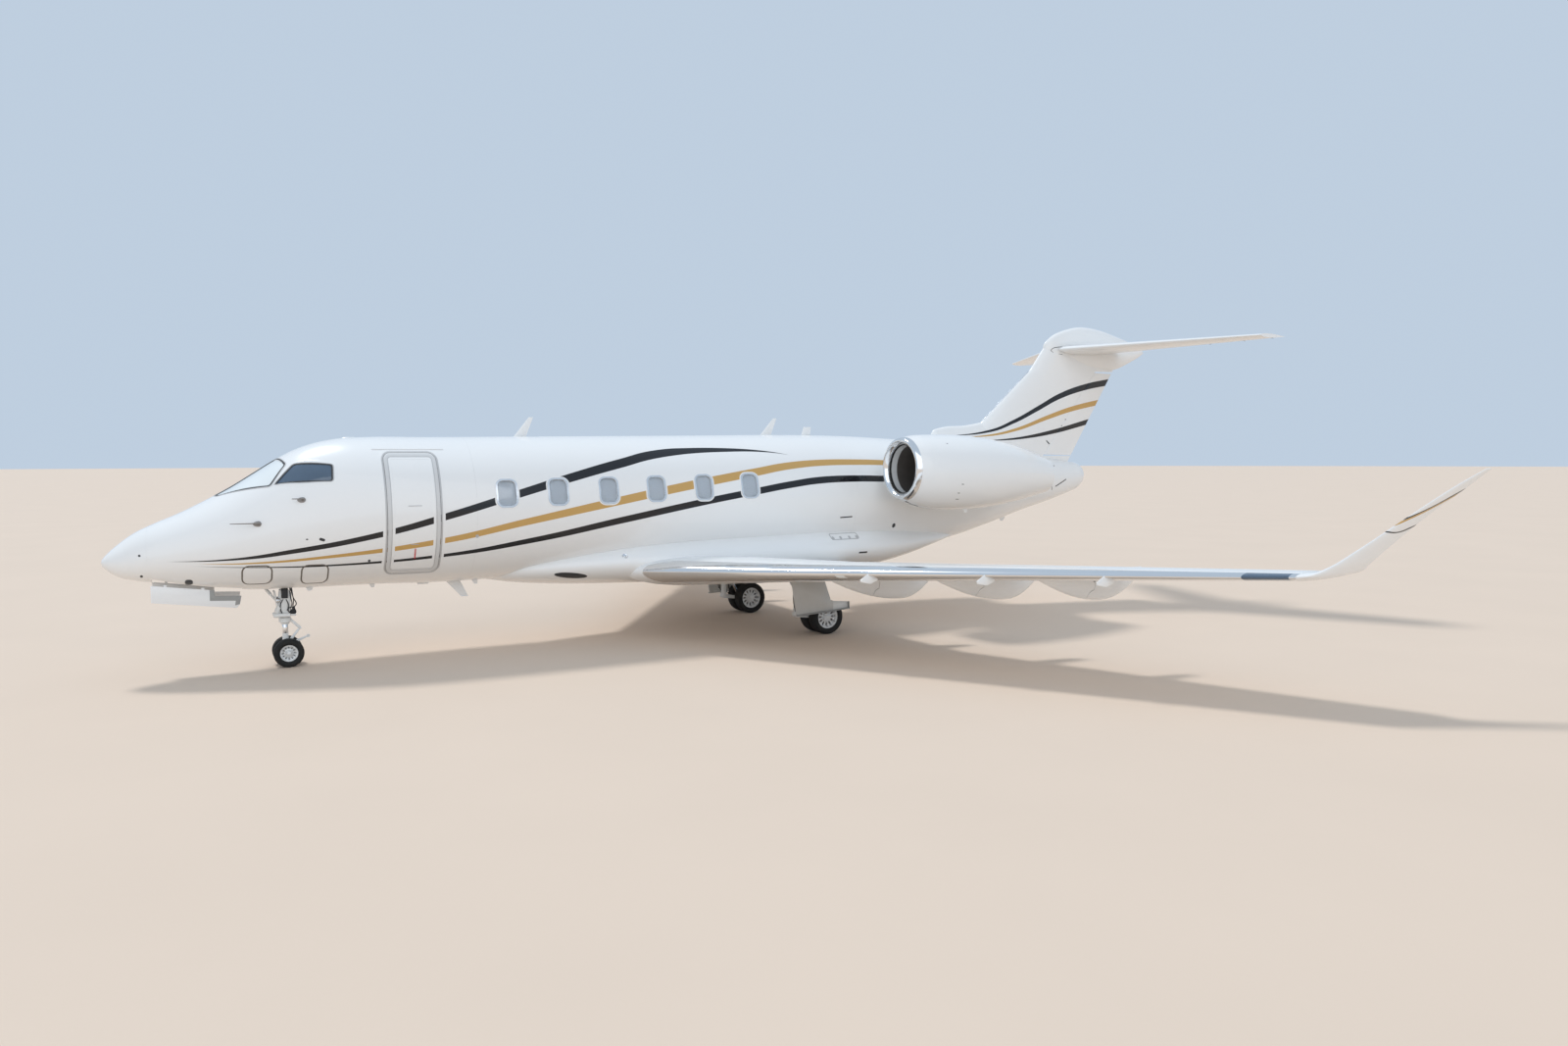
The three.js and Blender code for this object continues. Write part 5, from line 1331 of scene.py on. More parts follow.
def steeringActuator(x, y, z=0.79):
    bracket = [(x - 0.14, 0.84), (x - 0.1, 0.82), (x - 0.06, 0.9), (x - 0.09, 0.95)]
    return [
        rod((x - 0.15, y, z), (x + 0.07, y, z), 0.032, edge=0.006),
        rod((x - 0.165, y, z), (x - 0.14, y, z), 0.022, sides=16),
        rod((x + 0.07, y, z), (x + 0.15, y, z), 0.014, sides=16),
        lump(x - 0.05, x + 0.03, min(y, y * 0.4), max(y, y * 0.4), 0.765, 0.82, 0.006),
        rod((x - 0.09, y * 0.72, 0.87), (x - 0.14, y * 0.8, 1.16), 0.013, sides=12),
        plate(bracket, y * 0.9 - 0.006, y * 0.9 + 0.006),
    ]


def makeNoseLeg():
    g = noseGear
    x = g["x"]
    parts = [noseStrut(x, g["foot"], g["top"]), pin(x, 0, 1.34, g["width"], 0.034, edge=0.006)]
    parts += noseBrace(g["width"])
    parts.append(lump(x - 0.055, x - 0.02, -0.05, 0.05, 0.85, 0.93, 0.006))
    outline = [(-0.11, 0.84), (-0.075, 0.79), (0.075, 0.79), (0.085, 1.1), (0.06, 1.18), (-0.07, 1.18)]
    parts.append(plate([(x + u, z) for u, z in outline], -0.068, 0.068, 0.012))
    for y in g["actuators"]:
        parts += steeringActuator(x, y)
    clip = [(0, 0.058), (0, 0.066), (0.016, 0.066), (0.016, 0.058)]
    parts += [turned("clip", clip, (x, 0, z), (0, 0, 1), 32, True) for z in g["clips"]]
    parts.append(lump(x + 0.05, x + 0.1, -0.03, 0.03, 1.0, 1.12, 0.006))
    fitJoined("shown_nose_leg", parts, gearPaint, "nose_leg")


def makeNoseHoses():
    x = noseGear["x"]
    dark = [
        lump(x - 0.045, x + 0.045, -0.118, -0.065, 1.05, 1.2),
        lump(x + 0.05, x + 0.15, -0.05, 0.045, 0.77, 0.86, 0.01),
        rod((x + 0.08, -0.075, 0.83), (x + 0.08, 0.07, 0.83), 0.018, sides=20),
        rod((x + 0.13, -0.03, 0.86), (x + 0.13, -0.03, 0.91), 0.014, sides=16),
    ]
    for line in noseGear["hoses"]:
        dark.append(hose([(x + u, y, z) for u, y, z in line], noseGear["hose"]))
    fitJoined("nose_leg_hoses", dark, hoseRubber)


# Taxi lights on the front of the leg.
def makeTaxiLamps():
    x, z = noseGear["x"], noseGear["lampZ"]
    shell = [(0, 0.02), (0.012, 0.038), (0.05, 0.046), (0.056, 0.046), (0.056, 0.042), (0.05, 0.041),
             (0.014, 0.03)]
    front = [(0.044, 0.03), (0.05, 0.041), (0.055, 0.03), (0.058, 0.012)]
    lamps, lenses = [], []
    for y in noseGear["lamps"]:
        start = (x - 0.06, y, z)
        lamps.append(turned("lamp", shell, start, (-1, 0, 0), 32, True))
        lamps.append(rod((x - 0.02, y * 0.5, z), (x - 0.065, y, z), 0.009, sides=12))
        lenses.append(turned("lens", front, start, (-1, 0, 0), 32))
    fitJoined("taxi_lamps", lamps, silver)
    fitJoined("taxi_lenses", lenses, clearGlass)


# The torque links between the collar and the fork.
def noseLinks(x, top):
    upper = [(0.072, top - 0.007), (0.072, 0.68), (0.2, 0.545), (0.222, 0.565), (0.215, 0.592)]
    lower = [(0.222, 0.575), (0.2, 0.54), (0.05, 0.33), (0.035, 0.345), (0.045, 0.395), (0.205, 0.59)]
    parts = []
    for outline, half in ((upper, 0.026), (lower, 0.024)):
        parts.append(plate([(x + u, z) for u, z in outline], -half, half, 0.006))
    parts.append(pin(x + 0.21, 0, 0.568, 0.036, 0.016, 20))
    for u, z in ((0.07, 0.705), (0.05, 0.36)):
        parts.append(pin(x + u, 0, z, 0.036, 0.014, 16))
    return parts


def makeNoseFork():
    g = noseGear
    x, (ax, az), (z0, z1) = g["x"], g["axle"], g["collar"]
    collar = [(0, 0.0635), (0, 0.082), (0.006, 0.088), (0.03, 0.088), (0.036, 0.082), (0.055, 0.088),
              (z1 - z0, 0.084), (z1 - z0, 0.0635)]
    parts = [turned("collar", collar, (x, 0, z0), (0, 0, 1), 40, True)]
    parts += noseLinks(x, z1)
    stem = [(0, 0.046), (0.005, 0.05), (0.07, 0.05), (0.078, 0.044), (0.215, 0.044)]
    parts.append(turned("stem", stem, (x, 0, 0.29), (0, 0, 1), 36))
    body = lump(x - 0.058, ax + 0.058, -0.049, 0.049, 0.168, 0.35, 0.016)
    carve(body, prism("tool", circle(ax, -0.3, az, 0.0308, "y", 32), (0, 0.6, 0)))
    parts.append(body)
    parts.append(plate([(ax + 0.02, 0.3), (ax + 0.3, 0.425), (ax + 0.29, 0.45), (ax + 0.0, 0.345)],
                       -0.01, 0.01))
    eye = [(-0.012, 0.012), (-0.012, 0.024), (0.012, 0.024), (0.012, 0.012)]
    parts.append(turned("eye", eye, (ax + 0.29, 0, 0.435), (0, 1, 0), 24, True))
    fitJoined("shown_nose_fork", parts, gearPaint, "nose_fork", body="nose_steering")
    sleeve = [(0, 0.0435), (0.002, 0.0445), (0.128, 0.0445), (0.13, 0.0435)]
    piston = turned("piston", sleeve, (x, 0, 0.507), (0, 0, 1), 36)
    fit(renamed(piston, "nose_piston"), "nose_steering", chrome)


# Main gear, left side first
mainGear = {
    "leg": (0.085, -1.494), "knee": 0.37, "axle": (0.604, 0.31), "ceiling": 1.139, "panelY": -1.785,
    "lean": 0.03,
    "arm": [  # share of its length, half width, half height
        (0, 0.04, 0.046), (0.12, 0.044, 0.044), (0.4, 0.036, 0.036), (0.75, 0.036, 0.038),
        (0.92, 0.044, 0.048), (1, 0.046, 0.05)],
    "shock": ((0.11, 0.955), (0.43, 0.345)), "disc": (0.135, 0.15), "discs": 5, "hose": 0.008,
    "hoses": [  # x, distance from the leg's middle, z
        [(0.125, -0.06, 1.12), (0.155, -0.07, 0.9), (0.165, -0.065, 0.6), (0.2, -0.06, 0.42),
         (0.42, -0.055, 0.37), (0.604, -0.08, 0.4)],
        [(0.135, 0.05, 1.12), (0.175, 0.06, 0.88), (0.165, 0.06, 0.6), (0.22, 0.055, 0.43),
         (0.44, 0.055, 0.38), (0.604, 0.08, 0.4)],
        [(0.035, -0.02, 1.12), (0.01, -0.03, 0.85), (0.015, -0.03, 0.55), (0.045, -0.04, 0.42)],
        [(0.085, -0.065, 0.78), (0.025, -0.1, 0.66), (0.025, -0.09, 0.52), (0.095, -0.065, 0.45)]],
}
legPanel = {
    "face": [(-0.19, 1.0), (0.5, 0.965), (0.63, 0.61), (1.0, 0.576), (1.0, 0.452), (0.64, 0.425),
             (-0.09, 0.386)],
    "ribs": [(0.885, 0.82, 0.0, 0.47), (0.62, 0.6, -0.02, 0.6), (0.44, 0.47, 0.0, 0.62)],
    "lip": [(-0.09, 0.386), (0.64, 0.425), (1.0, 0.452), (1.0, 0.474), (0.64, 0.447), (-0.09, 0.408)],
    "edge": [(0.98, 0.46), (1.0, 0.46), (1.0, 0.58), (0.98, 0.58)],
    "inset": [(0.67, 0.585), (0.985, 0.563), (0.985, 0.466), (0.67, 0.441)],
}


def mainStrut(x, y):
    knee, top = mainGear["knee"], mainGear["ceiling"]
    way = Vector((mainGear["lean"] * (top - knee) / (1.5 - knee), 0, top - knee))
    long = way.length
    profile = [(0.02, 0.05), (0.03, 0.06), (0.1, 0.062), (0.11, 0.054), (0.3, 0.054), (0.31, 0.062),
               (0.34, 0.062), (0.35, 0.056), (long * 0.8, 0.056), (long * 0.82, 0.062), (long, 0.062)]
    pins = [pin(x, y, knee, 0.075, 0.05, 32, 0.006), pin(x, y, knee, 0.088, 0.024)]
    return [turned("strut", profile, (x, y, knee), way, 36)] + pins


# A rounded number between -1 and 1, for the outline of a soft box.
def boxy(value, power):
    return math.copysign(abs(value) ** power, value)


def trailingArm(x, y, ax, az):
    rings = []
    for s, wide, high in mainGear["arm"]:
        cx, cz = mapped(s, 0, 1, x, ax), mapped(s, 0, 1, mainGear["knee"], az) - 0.02 * math.sin(math.pi * s)
        spots = [(wide * boxy(math.cos(t), 0.6), high * boxy(math.sin(t), 0.6)) for t in turns(28)]
        rings.append([(cx, y + u, cz + v) for u, v in spots])
    boss = [(0, 0.056), (0.006, 0.065), (0.09, 0.065), (0.096, 0.056)]
    arm = carve(loft("arm", rings), turned("boss", boss, (ax, y - 0.048, az), (0, 1, 0), 36),
                operation="UNION")
    return carve(arm, prism("tool", circle(ax, y - 0.3, az, 0.0368, "y", 32), (0, 0.6, 0)))


# The shock strut between the leg and the trailing arm, and the lugs at its ends.
def shockStrut(x, y, high, low):
    middle = high.lerp(low, 0.58)
    parts = [rod(high, middle, 0.038, sides=28, edge=0.006),
             rod(middle, high.lerp(low, 0.6), 0.042, sides=28)]
    parts += [pin(p.x, y, p.z, 0.05, 0.024, edge=0.004) for p in (high, low)]
    lug = [(0.4, 0.3), (0.46, 0.3), (0.452, 0.36), (0.41, 0.36)]
    upper = [(x + 0.03, 0.92), (x + 0.1, 0.93), (x + 0.06, 0.99), (x + 0.03, 1.0)]
    return parts + [plate(outline, y - 0.03, y + 0.03, 0.006) for outline in (lug, upper)]


def makeMainLeg():
    (x, y), (ax, az), panel = mainGear["leg"], mainGear["axle"], mainGear["panelY"]
    parts = mainStrut(x, y) + [trailingArm(x, y, ax, az)]
    high, low = [Vector((px, y, pz)) for px, pz in mainGear["shock"]]
    parts += shockStrut(x, y, high, low)
    parts.append(rod((x + 0.02, y + 0.05, 0.76), (x + 0.04, -0.96, 1.14), 0.024, 0.02, 20))
    parts.append(rod((x - 0.03, y + 0.05, 0.95), (x - 0.04, -1.1, 1.12), 0.016, sides=16))
    parts.append(lump(x - 0.03, x + 0.06, y + 0.03, y + 0.09, 0.72, 0.8, 0.01))
    parts += [rod((x + 0.02, y, z), (x + 0.02, panel - 0.002, z), 0.017, sides=16) for z in (0.81, 0.47)]
    pair(joined(parts, "leg"), "shown_main_leg", gearPaint, node="main_leg_{}")
    pair(rod(high.lerp(low, 0.58), low, 0.026, sides=28), "main_piston", chrome)


# The panel beside the leg: its face, ribs and inset, and the lip along its lower edge.
def makeLegPanel():
    y = mainGear["panelY"]
    pair(plate(legPanel["face"], y - 0.016, y - 0.002, 0.004), "leg_panel", panelPaint)
    ribs = []
    for z0, z1, x0, x1 in legPanel["ribs"]:
        ribs.append(plate([(x0, z0), (x1, z1), (x1, z1 - 0.018), (x0, z0 - 0.018)], y - 0.003, y + 0.014,
                          0.002))
    lip = [plate(legPanel["lip"], y - 0.062, y - 0.015), plate(legPanel["edge"], y - 0.05, y - 0.015)]
    # The lip in the dark grey of painted shade, for the shade under the panel.
    pair(joined(lip, "lip"), "leg_panel_lip", flangeShadePaint)
    ribs.append(plate(legPanel["inset"], y - 0.0185, y - 0.0155, 0.001))
    pair(joined(ribs, "ribs"), "leg_panel_ribs", gearPaint)


def makeBrakes():
    y, (ax, az) = mainGear["leg"][1], mainGear["axle"]
    inner, outer = mainGear["disc"]
    stack = []
    for k in range(mainGear["discs"]):
        a = 0.008 + k * 0.0095
        stack += [(a, inner), (a, outer), (a + 0.0065, outer), (a + 0.0065, inner)]
    profile = [(0.0, 0.045)] + stack + [(0.062, 0.11), (0.062, 0.045)]
    carrier = [(0, 0.045), (0, 0.1), (0.012, 0.12), (0.03, 0.12), (0.03, 0.045)]
    brakes = []
    for way in (-1, 1):
        brakes.append(turned("disc", profile, (ax, y + way * 0.092, az), (0, way, 0), 40, True))
        for a in turns(5):
            cx, cz = ax + 0.1 * math.cos(a + 0.3), az + 0.1 * math.sin(a + 0.3)
            brakes.append(rod((cx, y + way * 0.094, cz), (cx, y + way * 0.066, cz), 0.02, sides=16))
        brakes.append(turned("carrier", carrier, (ax, y + way * 0.066, az), (0, way, 0), 32, True))
    pair(joined(brakes, "brakes"), "brakes", engineMetal, slot="gear_metal")
    lines = [[(px, y + beside, pz) for px, beside, pz in line] for line in mainGear["hoses"]]
    pair(joined([hose(line, mainGear["hose"]) for line in lines], "lines"), "main_leg_hoses", hoseRubber)


# Nose gear doors: a white face and a dark flange round the step at the rear; the flange's dark grey is
# painted shade
noseDoor = {
    "y": 0.277, "front": -9.862, "hingeZ": 1.378, "slope": -0.1387, "hinges": (-9.7, -9.23), "eye": 0.04,
    "outline": [(-9.862, 1.362), (-9.862, 1.116), (-8.776, 0.972), (-8.735, 1.024), (-8.712, 1.15),
                (-9.06, 1.169), (-9.06, 1.251)],
    "flange": [(-9.06, 1.251), (-9.125, 1.26), (-9.125, 1.1), (-8.79, 1.08), (-8.8, 1.01), (-8.738, 1.026),
               (-8.714, 1.15), (-9.06, 1.169)],
}


def makeNoseDoors():
    d = noseDoor
    y = -d["y"]
    body = "nose_gear_door_{}"
    face = plate(d["outline"], y - 0.006, y - 0.001, 0.002)
    inside = plate([(x + 0.012 * (1 if x < -9.3 else -1), z) for x, z in d["outline"]], y, y + 0.0058,
                   0.0015)
    eyes = []
    for x in d["hinges"]:
        z = d["hingeZ"] + (x - d["front"]) * d["slope"]
        slope = Vector((1, 0, d["slope"])).normalized()
        start = Vector((x, y, z)) + slope * 0.0004
        eyes.append(rod(start, start + slope * d["eye"], 0.0098, sides=20, edge=0.001))
        strap = [(x + 0.002, z - 0.034), (x + 0.038, z - 0.039), (x + 0.038, z - 0.008),
                 (x + 0.002, z - 0.003)]
        eyes.append(plate(strap, y - 0.005, y + 0.005, 0.001))
    pair(joined([face, inside, *eyes], "door"), "shown_nose_gear_door", whitePaint, body, body)
    pair(plate(d["flange"], y - 0.0078, y - 0.0055, 0.0008), "nose_door_flange", flangeShadePaint, body)


# Dark grey that stands for shade: painted shade on the nose doors' flange and on the lip under the leg
# panel.
flangeShadePaint = finish("flange_painted_shade", (0.3, 0.3, 0.29), rough=0.5, mottle=0.08, size=15, bump=0.05)
makeNoseLeg()
makeNoseHoses()
makeTaxiLamps()
makeNoseFork()
makeMainLeg()
makeLegPanel()
makeBrakes()
makeNoseDoors()
print("gear made")


# Masts, wing fences and static wicks: a mast is a thin foil from its root to its tip
masts = {
    "body": [  # root front, rear and height; tip front, rear and height; across, thickness
        (-4.6, -4.37, 3.49, -4.295, -4.22, 3.872, 0, 0.018),
        (0.09, 0.355, 3.545, 0.43, 0.505, 3.932, 0, 0.018),
        (1.03, 1.245, 3.55, 1.11, 1.275, 3.775, 0, 0.018),
        (-5.79, -5.53, 1.24, -5.47, -5.36, 0.89, 0, 0.018), (6.05, 6.3, 1.98, 6.12, 6.2, 1.79, 0, 0.02),
        (-5.36, -5.25, 1.2, -5.3, -5.25, 1.11, -0.2, 0.014),
        (-4.79, -4.68, 1.2, -4.73, -4.68, 1.11, -0.2, 0.014),
        (-7.86, -7.71, 1.24, -7.8, -7.75, 1.15, -0.15, 0.012),
        (-6.95, -6.82, 1.24, -6.88, -6.84, 1.14, -0.1, 0.012),
        (-6.2, -5.95, 1.2, -6.16, -6.0, 1.135, 0.0, 0.03)],
    "nacelle": [(3.36, 3.5, 2.24, 3.42, 3.48, 2.13, -2.08, 0.014)],
    "shape": [  # share of height, of thickness
        (0, 1), (0.3, 1), (0.6, 0.9), (0.85, 0.75), (0.96, 0.5), (1, 0.15)],
    "roof": (-7.27, -7.03, 3.488, -7.21, -7.06, 3.513, 0, 0.09),
    "wicks": {"aileron": (7.7, 8.4, 9.1), "elevator": (2.2, 2.9, 3.45)},
    "fences": (4.73, 6.24, 7.63), "fenceHalf": 0.005,
    "fence": [(-0.14, -0.085), (-0.13, -0.12), (0.04, -0.155), (0.17, -0.11), (0.2, -0.05), (0.0, 0.0)],
}


def mast(x0, x1, z0, x2, x3, z1, y, thick):
    rings = []
    for s, full in masts["shape"]:
        front, rear, z = mapped(s, 0, 1, x0, x2), mapped(s, 0, 1, x1, x3), mapped(s, 0, 1, z0, z1)
        rings.append(foilRing(front, rear - front, thick * full / (rear - front),
                              lambda x, up: (x, y + up, z), 10))
    return loft("mast", rings)


def makeMasts():
    fitJoined("masts", [mast(*row) for row in masts["body"]], whitePaint)
    pair(joined([mast(*row) for row in masts["nacelle"]], "mast"), "drain_mast", whitePaint)
    parts = []
    for y in masts["fences"]:
        outline = [(leadX(y) + x, chordZ(leadX(y), y) + z) for x, z in masts["fence"]]
        parts.append(plate(outline, -y - masts["fenceHalf"], -y + masts["fenceHalf"], 0.002))
    pair(joined(parts, "fence"), "edge_fences", whitePaint)
    low, high, radius = finTable["edgeStrip"]
    strip = [(lookUp(finTable["stations"], z, 1)[0] + 0.003, 0, z) for z in np.linspace(low, high, 12)]
    fit(renamed(hose(strip, radius, 12, 2), "fin_edge_strip"), "airframe", silver)


# Static wicks behind the ailerons and elevators.
def makeWicks():
    ends = {
        "aileron": lambda y: (trailX(y), chordZ(trailX(y), y)),
        "elevator": lambda y: (tailAt(y, "back"), tail["z"] + y * tail["rise"]),
    }
    for name, places in masts["wicks"].items():
        made = []
        for y in places:
            x, z = ends[name](y)
            made.append(rod((x - 0.02, -y, z), (x + 0.1, -y, z - 0.004), 0.004, 0.0022, 8, 0.001))
        pair(joined(made, "wick"), "static_wicks_" + name, darkTrim, name + "_{}")


# Small marks, hatches and probes, placed on the skin
marks = {
    "dark": [  # x, height, length, width, turn in degrees
        (-9.382, 1.396, 0.1, 0.085, 0), (-9.977, 1.811, 0.03, 0.03, 0), (-9.965, 1.508, 0.036, 0.036, 0),
        (-7.86, 2.0, 0.03, 0.018, 0), (-7.66, 1.99, 0.08, 0.04, -20), (-7.008, 1.638, 0.036, 0.036, 0),
        (1.39, 2.062, 0.27, 0.022, 2), (2.577, 1.857, 0.07, 0.085, 20), (7.507, 2.612, 0.4, 0.022, 23),
        (7.205, 2.496, 0.085, 0.016, -62), (7.333, 2.991, 0.03, 0.02, 0)],
    "pale": [(-5.448, 1.963, 0.05, 0.05, 0)],
    "doorLabels": [(-6.37, 2.46, 0.2, 0.012), (-6.37, 1.87, 0.12, 0.01)],
    "hatches": [(-8.512, 1.476, 0.386, 0.29, 0.09), (-7.745, 1.45, 0.36, 0.31, 0.09)],
    "fairing": [(1.71, 1.389, 0.2, 0.03, 0)],
    "oval": (-3.865, 1.23, 0.54, 0.1, -6), "lamp": (-2.996, 1.529), "redMark": (-6.36, 1.725, 0.014, 0.16),
    "step": (1.36, 1.7, 0.62, 0.1), "probes": [(-8.477, 2.237, 0.37), (-7.896, 2.574, 0.15)],
    "nacelle": [(2.93, 2.69, 0.05), (3.02, 2.69, 0.03), (2.9, 2.527, 0.05), (3.0, 2.527, 0.03),
                (2.965, 2.412, 0.13), (2.245, 2.321, 0.28, 0.02), (2.729, 3.43, 0.03, 0.02)],
    "inlet": [(2.034, -2.163, 2.44), (2.02, -2.24, 2.472), (2.012, -2.33, 2.524), (2.01, -2.4, 2.575)],
    "inletMiddle": (2.02, 2.973, 0.568),
    "seal": [(7.75, 5.645), (7.6, 5.63), (7.49, 5.6), (7.45, 5.56), (7.49, 5.515), (7.6, 5.49),
             (7.75, 5.478)],
    "stepPads": (-0.27, -0.1, 0.1, 0.27),
    "lampShape": [(-0.01, 0.05), (0.006, 0.05), (0.008, 0.045), (0.003, 0.036), (0.003, 0.012),
                  (0.006, 0.008)],
    "fin": [(7.374, 3.517, 0.13, 0.022, -38), (7.917, 4.032, 0.022, 0.022, 0),
            (7.804, 3.889, 0.022, 0.022, 0)],
}


def markOn(x, z, long, high, turn=0, side=-1, rows=bodyRows, lift=0.0022):
    outline = spun(roundedRectangle(long, high, min(long, high) * 0.42, 4), math.radians(turn))
    spots = [sideSkin(x + u, z + v, side, 0, rows) for u, v in outline]
    return skinPlate("mark", stepped(spots, 0.1), lift, 0.006, 2, rows)


def nacelleForm(x):
    return lookUp(engine["outer"], x, 1, 2)


def onNacelle(x, z, long, high=0.012):
    radius, middle = nacelleForm(x)
    turn = math.asin(max(-1, min(1, (z - middle) / radius)))
    spots = []
    for u, v in roundedRectangle(long, high, high * 0.45, 3):
        radius, middle = nacelleForm(x + u)
        a, r = turn + v / radius, radius + 0.0025
        spots.append(Vector((x + u, -engine["y"] - r * math.cos(a), middle + r * math.sin(a))))
    piece = loft("mark", [spots, [sum(spots, Vector()) / len(spots)] * len(spots)], fill=False)
    return apply(piece, "SOLIDIFY", thickness=0.008, offset=-1)


def hatch(x, z, long, high, corner, width=0.02, height=0.003, rows=bodyRows):
    outline = [sideSkin(x + u, z + v, rows=rows) for u, v in roundedRectangle(long, high, corner, 5)]
    return skinBand("hatch", stepped(outline, 0.04), width, height, rows=rows)


def makeProbe(x, z, long, side):
    base = skinPoint(*sideSkin(x, z, side), 0.0)
    out = (skinPoint(*base, 1.0) - base).normalized()
    tip = base + out * 0.055
    front = tip + Vector((-long, 0, 0)) + out * 0.01
    foot = turned("foot", [(-0.004, 0.05), (0.003, 0.05), (0.008, 0.042), (0.014, 0.02)], base, out, 24)
    foot.data.transform(Matrix.Translation(base)
                        @ Matrix.Diagonal((1.5, 0.8, 0.8, 1)) @ Matrix.Translation(-base))
    tube = rod(tip + Vector((0.02, 0, 0)), front, 0.01, 0.006, 16, 0.002)
    return joined([foot, rod(base, tip, 0.014, 0.01, 16), tube], "probe")


# An oval opening on each side of the belly fairing.
def ovalOn(side):
    x, z, long, high, turn = marks["oval"]
    slope = math.tan(math.radians(turn))
    spots = [(x + long / 2 * math.cos(a), z + high / 2 * math.sin(a) + slope * long / 2 * math.cos(a))
             for a in turns(32)]
    outline = [sideSkin(u, v, side, 0, fairingRows) for u, v in spots]
    return skinPlate("oval", outline, 0.002, 0.006, 3, fairingRows)


def makeSkinMarks():
    dark, pale = [], []
    for side in (-1, 1):
        dark += [markOn(*row, side) for row in marks["dark"]]
        pale += [markOn(*row, side) for row in marks["pale"]]
    dark += [markOn(*row, rows=fairingRows) for row in marks["fairing"]]
    dark += [ovalOn(side) for side in (-1, 1)]
    fitJoined("skin_openings", dark, darkTrim)
    fitJoined("skin_plugs", pale, frameSilver)
    labels = [markOn(*row) for row in marks["doorLabels"]]
    fitJoined("door_labels_plain", labels, frameSilver, body="entry_door")
    fit(renamed(markOn(*marks["redMark"]), "door_mark"), "entry_door", redPaint)


def makeHatches():
    fitJoined("hatch_outlines", [hatch(*row) for row in marks["hatches"]], hatchSeal)
    x, z, long, high = marks["step"]
    step = [hatch(x, z, long, high, 0.03, 0.018, 0.004, fairingRows)]
    step += [markOn(x + u, z - 0.02, 0.05, 0.05, rows=fairingRows) for u in marks["stepPads"]]
    fitJoined("step_frame", step, frameSilver)
    lamps = []
    for side in (-1, 1):
        base = sideSkin(*marks["lamp"], side, 0, fairingRows)
        out = (skinPoint(*base, 1.0, fairingRows) - base).normalized()
        lamps.append(turned("lamp", marks["lampShape"], base, out, 32))
    fitJoined("fairing_lamps", lamps, silver)


# Openings on the nacelle and a dark line low on its inlet lip.
def makeNacelleMarks():
    made = [onNacelle(*row) for row in marks["nacelle"]]
    middleX, middleZ, radius = marks["inletMiddle"]
    centre = Vector((middleX, -engine["y"], middleZ))
    line = []
    for p in marks["inlet"]:
        way = Vector(p) - centre
        way.x = 0
        line.append(centre + way.normalized() * radius + Vector((p[0] - middleX, 0, 0)))
    made.append(hose(line, 0.012, 10, 3))
    pair(joined(made, "marks"), "nacelle_marks", darkTrim)


def makeFinMarks():
    made = []
    for x, z, long, high, turn in marks["fin"]:
        deep = finHalf(x, z)
        outline = spun(roundedRectangle(long, high, high * 0.45, 4), math.radians(turn))
        outline = [(x + u, z + v) for u, v in outline]
        made += [plate(outline, s * deep - 0.006, s * deep + 0.006, 0.001) for s in (-1, 1)]
    fitJoined("fin_openings", made[:2], darkTrim)
    fitJoined("rudder_openings", made[2:], darkTrim, body="rudder")
    bulletRows = smoothRows(finTable["bullet"], 6)
    seals = []
    for side in (-1, 1):
        seals.append(hose([sideSkin(x, z, side, 0.001, bulletRows) for x, z in marks["seal"]], 0.006, 8, 4))
    fitJoined("tailplane_root_seals", seals, darkTrim)


def makeProbes():
    probes = [makeProbe(*row, side) for row in marks["probes"] for side in (-1, 1)]
    fitJoined("air_probes", probes, engineMetal, slot="gear_metal")
    fit(renamed(mast(*masts["roof"]), "roof_plate"), "airframe", whitePaint)


redPaint = finish("red_mark", (0.6, 0.03, 0.03), rough=0.4, mottle=0.05, size=20, bump=0.02)
hatchSeal = finish("hatch_seal", (0.13, 0.11, 0.09), "dark_trim", rough=0.55, mottle=0.2, size=20, bump=0.06)
makeMasts()
makeWicks()
makeSkinMarks()
makeHatches()
makeNacelleMarks()
makeFinMarks()
makeProbes()
print("small parts made")


# Flight deck and cabin
deck = {
    "seatY": 0.42, "armY": 0.225,
    "pads": [  # name, length, width, thickness, x, z, lean, channels, crown, steps
        ("pilot_cushion_", 0.5, 0.45, 0.1, -7.885, 2.045, 3, 4, 0.022, 30),
        ("pilot_back_", 0.76, 0.43, 0.085, -7.57, 2.345, -102, 5, 0.022, 30),
        ("pilot_headrest_", 0.19, 0.25, 0.075, -7.462, 2.79, -99, 0, 0.015, 20)],
    "panel": [  # outline, half width, edge
        ([(-8.64, 2.09), (-8.56, 2.09), (-8.53, 2.44), (-8.64, 2.44)], 0.58, 0.01),
        ([(-8.64, 2.09), (-8.56, 2.09), (-8.52, 2.56), (-8.44, 2.6), (-8.47, 2.64), (-8.64, 2.64)], 0.44,
         0.012),
        ([(-8.64, 1.55), (-7.99, 1.55), (-7.99, 1.98), (-8.4, 2.2), (-8.64, 2.2)], 0.128, 0.012)],
    "levers": [(-8.2, 2.09), (-8.13, 2.05), (-8.06, 2.015)],
    "column": [  # the hand wheel: x, across, z
        (-8.3, -0.14, 2.32), (-8.29, -0.13, 2.24), (-8.28, 0, 2.215), (-8.29, 0.13, 2.24),
        (-8.3, 0.14, 2.32)],
    "screens": (-0.47, -0.16, 0.16, 0.47), "screenHalf": (0.125, 0.13), "screenZ": (2.24, 2.47),
    "bezelZ": (2.235, 2.475),
}


